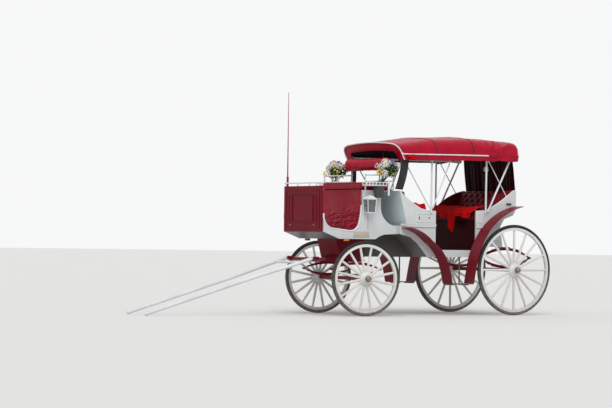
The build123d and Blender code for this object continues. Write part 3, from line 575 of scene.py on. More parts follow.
def finish_pad(obj, material, node):
    """Make a filled cover a finished padded piece that stands for a node."""
    obj.data.shade_smooth()
    add_modifier(obj, "SUBSURF", levels=1, render_levels=1)
    place_piece(obj, [material], replaces=[node])


def near_seam(low, high, reach=0.011):
    """1 beside the upper and lower edge of a box cushion's sides, else 0."""
    def held(point):
        sides = min(point.x - low.x, high.x - point.x, point.y - low.y, high.y - point.y)
        ends = min(point.z - low.z, high.z - point.z)
        return 1.0 if sides < reach and ends < reach else 0.0
    return held


def drawn(point, low, high, pull):
    """Draw a cushion's sides in between its corners."""
    middle = (low + high) / 2
    half = (high - low) / 2
    u = (point.x - middle.x) / half.x
    v = (point.y - middle.y) / half.y
    point.x -= math.copysign(pull, u) * abs(u) ** 3 * max(0.0, 1 - v * v)
    point.y -= math.copysign(pull, v) * abs(v) ** 3 * max(0.0, 1 - u * u)
    return point


def box_cushion(node, shrink, cap, material, voxel):
    """A piped box cushion: blown-up panels between held seams; shrink is how far inside its node it is."""
    name = f"{node}_cover"
    low, high = (Vector(corner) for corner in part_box(node))
    low += Vector((0.008, 0.008, 0.001))
    high -= Vector(shrink)
    obj = even_block(name, low, high, 0.012, voxel)
    fill_cover(obj, near_seam(low, high), cap)
    for vertex in obj.data.vertices:
        place = vertex.co
        if place.z > high[2] - 0.02:
            place.z += 0.0035 * noise.noise(Vector((place.x * 9, place.y * 7, 3.0)))
        drawn(place, low, high, 0.008)
    finish_pad(obj, material, node)
    for level, height in (("upper", high[2] - 0.004), ("lower", low[2] + 0.006)):
        ring = rounded_ring(low, high, 0.022)
        points = [drawn(Vector((x, y, height)), low, high, 0.008) for x, y in ring]
        bead(f"{name}_{level}_piping", points, 0.0048, material, closed=True)


def rounded_ring(low, high, radius, steps=6):
    """Points round a rectangle with rounded corners, with extra points along its sides."""
    ring = []
    corners = [(high[0], high[1], 0), (low[0], high[1], 1), (low[0], low[1], 2), (high[0], low[1], 3)]
    for x, y, quarter in corners:
        cx = x - math.copysign(radius, x - (low[0] + high[0]) / 2)
        cy = y - math.copysign(radius, y - (low[1] + high[1]) / 2)
        for i in range(steps + 1):
            angle = (quarter + i / steps) * math.pi / 2
            ring.append((cx + radius * math.cos(angle), cy + radius * math.sin(angle)))
    whole = []
    for first, last in zip(ring, ring[1:] + ring[:1]):
        pieces = 24 if math.dist(first, last) > 0.1 else 1
        for i in range(pieces):
            share = i / pieces
            whole.append((first[0] + (last[0] - first[0]) * share,
                          first[1] + (last[1] - first[1]) * share))
    return whole


def along_chain(chain, share):
    """The (x, z) point at a share of the way up a chain of points."""
    place = share * (len(chain) - 1)
    i = min(int(place), len(chain) - 2)
    t = place - i
    return (chain[i][0] + (chain[i + 1][0] - chain[i][0]) * t,
            chain[i][1] + (chain[i + 1][1] - chain[i][1]) * t)


def tufts(u, v, step_u, step_v):
    """How full the cover is at a place: 0 in the pleats and at the buttons, up to 1 between them."""
    p = math.pi * (u / step_u + v / step_v)
    q = math.pi * (u / step_u - v / step_v)
    pleats = abs(math.sin(p) * math.sin(q)) ** 0.42
    row = round(2 * v / step_v)
    shift = 0.5 * (row % 2)
    near = round(u / step_u - shift) + shift
    gap = math.hypot(u - near * step_u, v - row * step_v / 2)
    return 0.62 * pleats + 0.38 * (1 - math.exp(-(gap / 0.022) ** 2))


def tufted_back(node, back, front, depth, voxel):
    """A buttoned seat back between a back line and a front line of (x, z) points."""
    height = math.dist(front[0], front[-1])
    half, thick = 0.484, 0.10
    obj = even_block(f"{node}_cover", (0, -half, 0), (thick, half, height), 0.016, voxel)
    low, high = Vector((0, -half, 0)), Vector((thick, half, height))

    def held(point):
        edge = min(point.y - low.y, high.y - point.y, point.z - low.z, high.z - point.z)
        return 1.0 if edge < 0.02 or point.x < 0.03 else 0.0

    fill_cover(obj, held, 0.012)
    step_u, step_v = 0.127, height / 2.1
    for vertex in obj.data.vertices:
        share = min(1.0, max(0.0, vertex.co.z / height))
        inner = Vector(along_chain(back, share))
        outer = Vector(along_chain(front, share))
        lift = vertex.co.x / thick
        edge = min(half - abs(vertex.co.y), vertex.co.z, height - vertex.co.z)
        soft = min(1.0, max(0.0, edge / 0.03))
        if lift > 0.5:
            full = tufts(vertex.co.y, vertex.co.z - height * 0.52, step_u, step_v)
            normal = (outer - inner).normalized()
            outer -= normal * depth * (1 - full) * soft
        place = inner.lerp(outer, lift)
        vertex.co = (place.x, vertex.co.y, place.y)
    obj.data.update()
    if (front[0][0] - back[0][0]) < 0:
        obj.data.flip_normals()
    finish_pad(obj, "wine hide", node)
    studs = bmesh.new()
    for row in (-1, 0, 1, 2):
        level = height * 0.52 + row * step_v / 2
        if not 0.03 < level < height - 0.03:
            continue
        for column in range(-4, 5):
            across = (column + 0.5 * (row % 2)) * step_u
            if abs(across) > half - 0.03:
                continue
            share = level / height
            inner, outer = Vector(along_chain(back, share)), Vector(along_chain(front, share))
            normal = (outer - inner).normalized()
            spot = outer - normal * depth * 0.93
            add_ball(studs, (spot.x, across, spot.y), 0.010, (0.8, 1, 1), 12, 6)
    to_piece(studs, f"{node}_cover_buttons", ["wine hide"], crease=80)


def wing_pad(name, outline, side, inner_y=0.5085, thick=0.020):
    """A thin padded panel inside a tub's side, cut to an outline of (x, z) points."""
    bm = bmesh.new()
    face = bm.faces.new([bm.verts.new((x, side * inner_y, z)) for x, z in outline])
    out = bmesh.ops.extrude_face_region(bm, geom=[face])
    moved = [item for item in out["geom"] if isinstance(item, bmesh.types.BMVert)]
    bmesh.ops.translate(bm, vec=(0, -side * thick, 0), verts=moved)
    bmesh.ops.recalc_face_normals(bm, faces=bm.faces)
    round_off(bm, [edge for edge in bm.edges if all(vertex in moved for vertex in edge.verts)], 0.009, 3)
    to_piece(bm, name, ["wine hide"])


def shifted(x, points):
    """Points of a side view, their places along the body counted from x."""
    return [(x + along, up) for along, up in points]


class CARRIAGE_OT_seats(bpy.types.Operator):
    """Passenger seats: piped cushions, padded backs with buttons and side pads"""

    bl_idname = "carriage.seats"
    bl_label = "Passenger seats"

    def execute(self, context):
        sizes = context.scene.carriage_sizes
        for name in ("front_cushion", "rear_cushion"):
            box_cushion(name, (0.008, 0.008, 0.010), 0.012, "wine hide", sizes.voxel)
        backs = (
            ("rear_back", REAR, [(0.012, 1.292), (-0.078, 1.440), (-0.110, 1.567)],
             [(0.146, 1.292), (0.056, 1.440), (-0.016, 1.582)], sizes.button_depth),
            ("front_back", FRONT, [(-0.604, 1.292), (-0.519, 1.534)],
             [(-0.684, 1.292), (-0.600, 1.534)], sizes.button_depth * 0.6),
        )
        for node, x, back, front, depth in backs:
            tufted_back(node, shifted(x, back), shifted(x, front), depth, sizes.voxel * 0.8)
        edge = arc_points((0.425, 1.312), (0.215, 1.478), (-0.070, 1.585), 18)
        rear_wing = shifted(REAR, [(-0.104, 1.572), (-0.118, 1.440), (-0.110, 1.330), (-0.06, 1.285),
                                   (0.470, 1.285), (0.470, 1.296), *edge])
        edge = arc_points((-0.838, 1.308), (-0.690, 1.383), (-0.512, 1.526), 14)
        front_wing = shifted(FRONT, [(-0.594, 1.210), (-1.030, 1.210), (-1.030, 1.282),
                                     (-0.950, 1.288), *edge])
        for side, name in SIDES:
            wing_pad(f"rear_side_pad_{name}", rear_wing, side)
            wing_pad(f"front_side_pad_{name}", front_wing, side)
        return {"FINISHED"}


class CARRIAGE_OT_driver_seat(bpy.types.Operator):
    """Driver's seat: piped cushion, backrest roll and the apron that hangs below the cushion"""

    bl_idname = "carriage.driver_seat"
    bl_label = "Driver's seat"

    def execute(self, context):
        sizes = context.scene.carriage_sizes
        box_cushion("driver_cushion", (0.006, 0.008, 0.012), 0.013, "driver hide", sizes.voxel)
        self.roll(sizes)
        self.apron()
        return {"FINISHED"}

    def roll(self, sizes):
        """The backrest: a stuffed roll, fuller in the middle and drawn in at its two end seams."""
        inset = Vector((0.006, 0.004, 0.006))
        low, high = (Vector(corner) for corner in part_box("driver_backrest"))
        low, high = low + inset, high - inset
        obj = even_block("driver_backrest_cover", low, high, 0.052, sizes.voxel)

        def held(point):
            return 1.0 if min(point.y - low.y, high.y - point.y) < 0.02 else 0.0

        fill_cover(obj, held, 0.010)
        middle = (low + high) / 2
        for vertex in obj.data.vertices:
            place = vertex.co
            end = min(place.y - low.y, high.y - place.y)
            draw = 1 - 0.10 * math.exp(-(end / 0.03) ** 2)
            ripple = 0.0022 * math.sin(place.y * 41 + 3 * math.sin(place.z * 17))
            place.x = middle.x + (place.x - middle.x) * draw + ripple
            place.z = middle.z + (place.z - middle.z) * draw + ripple * 0.6
        finish_pad(obj, "canopy hide", "driver_backrest")

    def apron(self):
        """A hanging flap below the cushion, smooth above and crumpled towards its hem."""
        half = 0.430

        def surface(across, down):
            y = (across * 2 - 1) * half
            slack = max(0.0, down - 0.38) / 0.62
            z = 1.545 - 0.515 * down + 0.010 * slack * math.sin(across * 11 + 1.0)
            warp = Vector((y * 5.0, down * 6.0, 1.7))
            drift = noise.noise(warp) * 2.2
            ridge = 1 - 2.4 * abs(noise.noise(Vector((y * 6.5 + drift, down * 11 - drift, 4.2))))
            crush = ridge + 0.7 * noise.noise(Vector((y * 14, down * 21, 7.7)))
            dent = noise.noise(Vector((y * 3.2, down * 2.4, 9.1)))
            pull = math.sin(y * 7 - down * 13 + 2.0 * dent) * min(1.0, down * 5)
            x = 0.0085 + 0.009 * dent + 0.0035 * pull + 0.023 * slack ** 0.7 * (0.9 + crush * 0.8)
            if down < 0.05:
                x += 0.010 * (1 - down / 0.05)
            return FRONT + max(0.003, x), y, z
        bm = outward(sheet_of(110, 90, surface), (FRONT - 1, 0, 1.3))
        obj = thick_sheet(bm, "seat_apron_cloth", ["driver hide"], "red_vinyl", 0.002, 1.0, ["seat_apron"])
        seam = [(FRONT + 0.012, (i / 59 * 2 - 1) * half, 1.538) for i in range(60)]
        bead("seat_apron_seam", seam, 0.0045, "driver hide")


class CARRIAGE_OT_throws(bpy.types.Operator):
    """Red throws: one spread over the rear seat's front edge, one bunched on the front seat"""

    bl_idname = "carriage.throws"
    bl_label = "Throws"

    def execute(self, context):
        front_edge = REAR + 0.496
        # how much of the rug lies on the cushion, and its whole run
        lie, whole = 0.40, 0.55

        def spread(across, along):
            y = -0.470 + 0.95 * across
            run = max(0.0, whole * along + 0.03 * math.sin(across * 4.1 + 0.6) * (1 - along))
            tail = math.exp(-(abs(across - 0.57) / 0.088) ** 7)
            hang = 0.062 + 0.014 * math.sin(across * 15.0 + 1.0)
            hang += tail * (0.165 + 0.03 * math.sin(across * 70))
            drift = noise.noise(Vector((y * 2.2, run * 2.5, 5.0)))
            fold = 1 - math.exp(-(math.sin(run * 21 + y * 3.4 + 3.2 * drift) / 0.42) ** 2)
            heap = 0.5 + 0.9 * noise.noise(Vector((y * 3.1, run * 3.4, 1.3)))
            crest = max(0.0, math.sin(math.pi * min(1.0, run / lie))) ** 0.6
            height = 0.014 + 0.052 * fold + 0.060 * max(0.0, heap)
            rise = 0.004 + crest * height * (1.15 - 0.45 * across)
            if run < lie:
                x = front_edge - lie + run + 0.020 * drift
                z = CUSHION_TOP + rise
            else:
                share = min(1.0, (run - lie) / (whole - lie))
                swing = math.sin(min(1.0, share * 3.0) * math.pi / 2)
                sway = math.sin(y * 42 + 5 * drift) * min(1.0, 2 * share)
                x = front_edge + 0.018 + 0.020 * swing + 0.018 * sway
                z = CUSHION_TOP + rise * (1 - share) - hang * share
                y -= 0.16 * (across - 0.57) * tail * share
            return x, y, z
        bm = outward(sheet_of(120, 90, spread), (REAR + 0.25, 0, 1.0))
        obj = thick_sheet(bm, "rear_throw", ["scarlet cloth"], "red_cloth", 0.003, 1.0, ["blankets"])

        def bunch(across, along):
            u, v = across * 2 - 1, along * 2 - 1
            reach = 1 - 0.22 * (u * u) * (v * v)
            x = FRONT - 0.870 + 0.105 * u * reach
            y = 0.320 + 0.170 * v * reach
            edge = min(1.0, (1 - max(abs(u), abs(v))) / 0.30)
            heap = 0.5 + 0.8 * noise.noise(Vector((x * 7, y * 6, 2.2)))
            fold = 0.5 + 0.5 * math.sin(x * 45 + y * 26 + 3 * noise.noise(Vector((x * 5, y * 5, 8.0))))
            z = CUSHION_TOP + 0.001 + edge * (0.035 + 0.035 * fold ** 2 + 0.050 * heap * edge)
            return x, y, max(CUSHION_TOP + 0.001, z)
        bm = outward(sheet_of(64, 80, bunch), (FRONT - 0.87, 0.32, 1.0))
        obj = thick_sheet(bm, "front_throw", ["scarlet cloth"], "red_cloth", 0.003, 1.0)
        return {"FINISHED"}


class CARRIAGE_OT_curtain(bpy.types.Operator):
    """The dark curtain that closes the canopy's rear above the back panel"""

    bl_idname = "carriage.curtain"
    bl_label = "Rear curtain"

    def execute(self, context):
        def surface(across, down):
            y = (across * 2 - 1) * 0.516
            z = 2.006 - 0.430 * down
            x = -0.0755 - 0.053 * down
            folds = math.sin(y * 36 + 1.4 * math.sin(y * 9)) + 0.5 * math.sin(y * 83 + down * 2)
            sag = 0.0015 + 0.0060 * math.sin(down * math.pi * 0.62)
            return REAR + x + folds * sag, y, z
        bm = outward(sheet_of(150, 40, surface), (REAR + 1, 0, 1.8))
        obj = thick_sheet(bm, "rear_curtain_cloth", ["curtain hide"], "maroon_vinyl", 0.002,
                          replaces=["rear_curtain"])
        return {"FINISHED"}


# Canopy: skin, front band, lining, piping and bands

# place along the body from the front axle, crown, edge and hem heights, as in the frame
CANOPY_RIBS = [(-0.340, 2.132, 1.985, 1.916), (-1.500, 2.248, 2.000, 1.936),
               (-2.256, 2.212, 2.005, 1.954)]
CANOPY_HALF = 0.620
CANOPY_REAR = CANOPY_RIBS[-1][0]
# places of its bows, and the point near the side piping's end that the rear folds run from
CANOPY_BOWS = (-0.501, -0.970, -1.500, -2.000, -2.205)
GATHER_X, GATHER_Z = -1.70, 1.985
# the sloping front face: its places at two heights
FACE_TOP, FACE_FOOT = -0.385, -0.520
FACE_SLOPE = (FACE_TOP - FACE_FOOT) / (2.135 - 1.880)


def between(rows, x):
    """Values of a table at x, with a smooth curve through its three rows."""
    (x0, *a), (x1, *b), (x2, *c) = rows
    p = (x - x1) * (x - x2) / ((x0 - x1) * (x0 - x2))
    q = (x - x0) * (x - x2) / ((x1 - x0) * (x1 - x2))
    r = (x - x0) * (x - x1) / ((x2 - x0) * (x2 - x1))
    return [p * i + q * j + r * k for i, j, k in zip(a, b, c)]


def face_x(z):
    """Where the canopy's sloping front face stands at a height, from the front axle."""
    return FACE_FOOT + (z - 1.880) * FACE_SLOPE


def halved(share):
    """A share's side, and how far it is from that side's hem: 0 at the hem and 1 at the crown."""
    return (1.0 if share < 0.5 else -1.0), min(share, 1 - share) / 0.5


def canopy_section(x, share):
    """A point of the canopy's section: share runs 0 to 1 from the left hem over to the right one."""
    crown, edge, hem = between(CANOPY_RIBS, x)
    half = CANOPY_HALF
    shoulder = half - 0.155
    shoulder_z = edge + (crown - edge) * 0.84
    side, run = halved(share)
    if run < 0.16:
        y, z = half, hem + (edge - hem) * run / 0.16
    elif run < 0.42:
        t = (run - 0.16) / 0.26
        bulge = Vector((half - 0.034, edge + (shoulder_z - edge) * 0.68))
        first, last = Vector((half, edge)), Vector((shoulder, shoulder_z))
        pull = bulge * 2 - (first + last) / 2
        y, z = first * (1 - t) ** 2 + pull * (2 * t * (1 - t)) + last * t ** 2
    else:
        y = shoulder * (1 - (run - 0.42) / 0.58)
        z = crown - (crown - shoulder_z) * (y / shoulder) ** 2
    return side * y, z


def canopy_surface(share, along):
    """The skin from the front face to the rear, sagging between bows, with loose folds behind."""
    start = face_x(canopy_section(face_x(2.05), share)[1])
    x = start + (CANOPY_REAR - start) * along
    y, z = canopy_section(x, share)
    run = halved(share)[1]
    bow = min(abs(x - place) for place in CANOPY_BOWS)
    sag = 0.007 * min(1.0, bow / 0.22) * (1.0 if run > 0.4 else 0.6)
    lean = Vector((0.0, y * 0.35, z - 1.7)).normalized()
    loose = max(0.0, min(1.0, (-1.74 - x) / 0.10)) * max(0.0, min(1.0, (0.46 - run) / 0.12))
    angle = math.atan2(z - GATHER_Z, GATHER_X - x)
    reach = math.hypot(z - GATHER_Z, GATHER_X - x)
    fold = 1.2 - 2.4 * abs(math.sin(angle * 11 + reach * 4 + y))
    fold += 0.6 * math.sin(angle * 33 - reach * 9)
    ripple = noise.noise(Vector((x * 5, y * 5, z * 9))) * 0.004
    push = ripple - sag + 0.0125 * loose * fold * min(1.0, reach / 0.10)
    gather = 0.0035 * math.sin(x * 95 + math.copysign(1, y)) * max(0.0, 1 - run / 0.14)
    return FRONT + x, y + lean.y * push + math.copysign(gather, y), z + lean.z * push


def arch_line(share):
    """The opening of the canopy's front band, from the left leg over to the right one."""
    side, run = halved(share)
    if run < 0.20:
        y, z = 0.500, 1.912 + (1.985 - 1.912) * run / 0.20
    elif run < 0.36:
        t = (run - 0.20) / 0.16
        y = 0.500 - 0.055 * (1 - math.cos(t * math.pi / 2))
        z = 1.985 + 0.047 * math.sin(t * math.pi / 2)
    else:
        t = (run - 0.36) / 0.64
        y = 0.445 * (1 - t)
        z = 2.032 + 0.016 * (1 - (1 - t) ** 2)
    return FRONT + face_x(z) + 0.002, side * y, z


def face_outline(share):
    """The canopy's outline on its sloping front face."""
    y, z = canopy_section(face_x(canopy_section(-0.43, share)[1]), share)
    return FRONT + face_x(z) + 0.002, y, z


def ribbon(name, points, half_width, thickness, material, slot):
    """A flat strip along points; half_width reaches from its middle line to an edge."""
    last = len(points) - 1
    edge = Vector(half_width)
    bm = sheet_of(4, last, lambda across, along: points[round(along * last)] + edge * (across * 2 - 1))
    return thick_sheet(bm, name, [material], slot, thickness, crease=35)


class CARRIAGE_OT_canopy(bpy.types.Operator):
    """Dress the canopy frame: skin, front band, piping, bands, straps, bow and lamp"""

    bl_idname = "carriage.canopy"
    bl_label = "Canopy"

    def execute(self, context):
        skin = self.lined(sheet_of(96, 110, canopy_surface), 1.7, "canopy_skin", 0.010, ["canopy"])
        band = sheet_of(96, 6, lambda share, depth: Vector(face_outline(share)).lerp(
            Vector(arch_line(share)), depth))
        face = self.lined(band, 1.9, "canopy_front_band", 0.008, ())
        self.piping(context.scene.carriage_sizes.piping / 2)
        self.bands()
        self.straps()
        self.bow()
        lamp = bmesh.new()
        add_ball(lamp, (REAR - 0.056, 0, 1.86), 0.042, (0.7, 1, 1), 28, 16)
        to_piece(lamp, "dome_lamp", ["lamp lens"])
        return {"FINISHED"}

    def lined(self, bm, inner_z, name, thickness, replaces):
        """A sheet of hide with a dark lining inside."""
        return thick_sheet(outward(bm, (FRONT - 1.4, 0, inner_z)), name, ["canopy hide", "canopy lining"],
                           "red_vinyl", thickness, -1.0, replaces, 60, material_offset=1)

    def piping(self, radius):
        """Piping: round the front face and its arch, along both sides and round the rear edge."""
        steps = [i / 80 for i in range(81)]
        outline = [Vector(face_outline(share)) + Vector((0.003, 0, 0)) for share in steps]
        outline = [p + Vector((0, math.copysign(0.004, p.y), 0.004)) for p in outline]
        bead("canopy_front_piping", outline, radius, "piping hide")
        arch = [Vector(arch_line(share)) + Vector((0.003, 0, 0)) for share in steps]
        bead("canopy_arch_piping", arch, radius * 0.5, "canopy hide")
        rear = []
        for share in steps:
            y, z = canopy_section(CANOPY_REAR, share)
            rear.append((FRONT + CANOPY_REAR - 0.001, y + math.copysign(0.003, y), z + 0.003))
        bead("canopy_rear_piping", rear, radius * 0.8, "piping hide")
        for side, name in SIDES:
            line = []
            for i in range(40):
                x = -0.470 - 1.310 * i / 39
                line.append((FRONT + x, side * (CANOPY_HALF + 0.006), between(CANOPY_RIBS, x)[1] + 0.002))
            bead(f"canopy_side_piping_{name}", line, radius * 1.1, "piping hide")
            knob = bmesh.new()
            add_ball(knob, (FRONT - 0.462, side * (CANOPY_HALF + 0.008), 1.992), 0.015, rings=10)
            to_piece(knob, f"canopy_knob_{name}", ["white trim"])

    def bands(self):
        """Dark cross bands stitched over the skin at two bows."""
        for number, place in enumerate((-0.985, -1.560), 1):
            points = []
            for i in range(73):
                y, z = canopy_section(place, 0.075 + 0.85 * i / 72)
                out = Vector((0, y * 0.35, z - 1.7)).normalized() * 0.0015
                points.append(out + Vector((FRONT + place, y + math.copysign(0.0015, y), z)))
            ribbon(f"canopy_band_{number}", points, (0.010, 0, 0), 0.003, "band hide", "red_vinyl")

    def straps(self):
        """A webbing strap each side from the canopy's front corner to the front tub."""
        for side, name in SIDES:
            top = Vector((FRONT - 0.538, side * 0.575, 1.945))
            foot = Vector((FRONT - 0.492, side * 0.512, 1.556))
            points = []
            for i in range(17):
                sway = math.sin(i / 16 * math.pi)
                points.append(top.lerp(foot, i / 16) + Vector((-0.016, side * 0.004, 0)) * sway)
            strap = ribbon(f"canopy_strap_{name}", points, (0.048, side * -0.014, 0.004), 0.004,
                           "strap webbing", "dark_paint")

    def bow(self):
        """A red ribbon bow tied at the left front corner of the canopy."""
        bm = bmesh.new()
        for turn, reach, puff in ((0.15, 0.062, 0.026), (math.pi - 0.15, 0.062, 0.026),
                                  (-0.9, 0.045, 0.012), (-2.2, 0.045, 0.012)):
            add_sheet(bm, 2, 14, self.loop(turn, reach, puff))
        bmesh.ops.recalc_face_normals(bm, faces=bm.faces)
        obj = thick_sheet(bm, "canopy_bow", ["scarlet cloth"], "red_cloth", 0.0016)

    def loop(self, turn, reach, puff):
        """The surface of one loop of the bow: a strip that goes out and comes back."""
        middle = Vector((FRONT - 0.600, CANOPY_HALF + 0.022, 1.958))
        out = Vector((math.cos(turn), 0, math.sin(turn)))
        rise = Vector((0, 1, 0))
        across = out.cross(rise).normalized() * 0.017

        def surface(width, t):
            swing = math.sin(t * math.pi)
            place = middle + out * (reach * swing) + rise * (puff * math.sin(t * 2 * math.pi))
            return place + across * (0.35 + 0.65 * swing) * (width * 2 - 1)
        return surface


# Flowers, planters and lanterns

def add_petal(bm, place, turn, length, width, cup, slot):
    """Add one bent petal or leaf: a short strip that widens and closes to a tip."""
    made = bmesh.ops.create_grid(bm, x_segments=2, y_segments=1, size=0.5)["verts"]
    for vertex in made:
        along = vertex.co.x + 0.5
        wide = (0.35, 1.0, 0.12)[min(2, int(along * 2 + 0.5))] * width
        vertex.co = Vector((along * length, vertex.co.y * wide, cup * along * along * length))
    bmesh.ops.transform(bm, matrix=Matrix.Translation(place) @ turn, verts=made)
    dye(made, slot)


def direction_at(angle, lift):
    """The direction at an angle round the Z axis and a height on a ball of radius 1."""
    flat = math.sqrt(1 - lift * lift)
    return Vector((math.cos(angle) * flat, math.sin(angle) * flat, lift))


def dye(points, slot):
    """Give every face round some points a material."""
    for face in {face for point in points for face in point.link_faces}:
        face.material_index = slot


def facing(direction, spin):
    """A turn whose Z axis points along a direction, spun about it."""
    return direction.to_track_quat("Z", "X").to_matrix().to_4x4() @ Matrix.Rotation(spin, 4, "Z")


def add_bloom(bm, place, direction, size, petals, slot, heart):
    """Add one open flower: a ring of petals round a small heart."""
    turn = facing(direction, size * 900)
    for i in range(petals):
        ring = turn @ Matrix.Rotation(2 * math.pi * i / petals, 4, "Z") @ Matrix.Rotation(-0.5, 4, "Y")
        add_petal(bm, place, ring, size, size * 0.72, -0.35, slot)
    made = bmesh.ops.create_icosphere(bm, subdivisions=1, radius=size * 0.2,
                                      matrix=Matrix.Translation(place + direction * size * 0.12))
    dye(made["verts"], heart)


class CARRIAGE_OT_flowers(bpy.types.Operator):
    """A bunch of flowers at each end of the driver's seat"""

    bl_idname = "carriage.flowers"
    bl_label = "Flowers"

    # place in the bunch (along, out, up), radius of the head, finish and number of blooms
    HEADS = [
        (0.055, 0.020, 0.060, 0.062, 1, 26), (0.120, 0.030, 0.020, 0.045, 1, 16),
        (0.080, 0.030, -0.060, 0.052, 1, 20), (-0.120, 0.010, 0.040, 0.046, 1, 16),
        (0.165, 0.040, -0.045, 0.036, 2, 12), (-0.020, 0.020, 0.082, 0.040, 3, 14),
        (-0.075, 0.030, 0.060, 0.034, 3, 10), (0.000, -0.040, 0.040, 0.050, 1, 16),
        (0.060, -0.050, -0.020, 0.046, 2, 10), (-0.090, -0.050, 0.010, 0.044, 1, 12),
        (-0.030, 0.050, -0.075, 0.026, 2, 6), (0.150, -0.020, 0.030, 0.036, 1, 10),
    ]

    def execute(self, context):
        low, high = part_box("flowers")
        rack_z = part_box("planters")[1][2]
        draw = random.Random(11)
        bm = bmesh.new()
        for side in (1, -1):
            middle = Vector(((low[0] + high[0]) / 2, side * (high[1] - 0.080), high[2] - 0.132))
            for along, out, up, radius, finish, count in self.HEADS:
                head = middle + Vector((along, side * out, up))
                for i in range(count):
                    way = direction_at(i * GOLDEN_ANGLE + along * 30, 1 - 2 * (i + 0.5) / count)
                    reach = radius * (0.72 + 0.2 * draw.random())
                    add_bloom(bm, head + way * reach, way, radius * (0.36 + 0.1 * draw.random()), 5,
                              finish, 2 if finish != 2 else 3)
            self.leaves(bm, middle, side, rack_z, draw)
        thick_sheet(bm, "flower_bunches", ["leaf", "white petal", "yellow petal", "purple petal"], "petals",
                    0.0008, replaces=["flowers"], crease=60)
        return {"FINISHED"}

    def leaves(self, bm, middle, side, rack_z, draw):
        """Leaves that fill and fringe the bunch, and the stems down into the pot."""
        for i in range(210):
            way = direction_at(draw.uniform(0, 2 * math.pi), draw.uniform(-0.9, 0.75))
            spread = Vector((way.x * 0.135, way.y * 0.050, way.z * 0.085 - 0.018))
            length = draw.uniform(0.030, 0.052)
            add_petal(bm, middle + spread * draw.uniform(0.5, 0.95),
                      facing(way, draw.uniform(0, 6.28)) @ Matrix.Rotation(-0.9, 4, "Y"),
                      length, length * 0.5, draw.uniform(-0.6, 0.1), 0)
        foot = Vector((POT_X, middle.y - side * 0.032, rack_z - 0.050))
        for i in range(13):
            top = middle + Vector((draw.uniform(-0.10, 0.12), draw.uniform(-0.03, 0.03),
                                   draw.uniform(-0.08, 0.0)))
            start = foot + Vector((draw.uniform(-0.03, 0.03), draw.uniform(-0.02, 0.02), 0))
            add_bar(bm, start, top, 0.0028, 6)


class CARRIAGE_OT_planters(bpy.types.Operator):
    """Ribbed dark pots in white slatted racks at both ends of the driver's seat"""

    bl_idname = "carriage.planters"
    bl_label = "Planters"

    def execute(self, context):
        low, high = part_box("planters")
        back, front, top = low[0], high[0], high[2]
        pot_low, pot_high = low[2], low[2] + 0.143
        racks, pots = bmesh.new(), bmesh.new()
        for side in (1, -1):
            y = side * (high[1] - 0.052)
            for rail in (y - 0.047, y + 0.047):
                for z in (pot_high + 0.004, top - 0.011):
                    add_box(racks, (back, rail - 0.005, z), (front, rail + 0.005, z + 0.011), 0.002)
                for i in range(7):
                    x = back + 0.006 + (front - back - 0.012) * i / 6
                    add_box(racks, (x - 0.006, rail - 0.004, pot_high),
                            (x + 0.006, rail + 0.004, top), 0.0015)
            post = y + side * 0.047
            add_box(racks, (FRONT - 0.318, post - 0.004, 1.475), (FRONT - 0.290, post + 0.004, 1.665), 0.002)
            for x in (back + 0.005, front - 0.005):
                add_box(racks, (x - 0.005, y - 0.050, pot_high + 0.004),
                        (x + 0.005, y + 0.050, pot_high + 0.016), 0.002)
            for i in range(8):
                x = back + 0.12 + (front - back - 0.13) * i / 7
                add_box(racks, (x - 0.008, y - 0.046, pot_high), (x + 0.008, y + 0.046, pot_high + 0.006))
            self.pot(pots, POT_X, y, pot_low, pot_high)
        to_piece(racks, "planter_racks", ["white trim"], replaces=["planters"])
        to_piece(pots, "planter_pots", ["pot"])
        return {"FINISHED"}

    def pot(self, bm, x, y, low, high):
        """One square pot with upright ribs, a rim and soil."""
        corners = 56
        made = bmesh.ops.create_cone(bm, cap_ends=True, segments=corners, radius1=0.046, radius2=0.060,
                                     depth=high - low,
                                     matrix=Matrix.Translation((x, y, (low + high) / 2)))["verts"]
        for vertex in made:
            dx, dy = vertex.co.x - x, vertex.co.y - y
            angle = math.atan2(dy, dx)
            square = 1 / max(abs(math.cos(angle)), abs(math.sin(angle))) ** 0.72
            rib = 1 - 0.11 * (round(angle / (2 * math.pi) * corners) % 2)
            vertex.co.x = x + dx * square * rib * 1.02
            vertex.co.y = y + dy * square * rib * 0.88
        add_box(bm, (x - 0.062, y - 0.051, high - 0.012), (x + 0.062, y + 0.051, high + 0.001), 0.003)


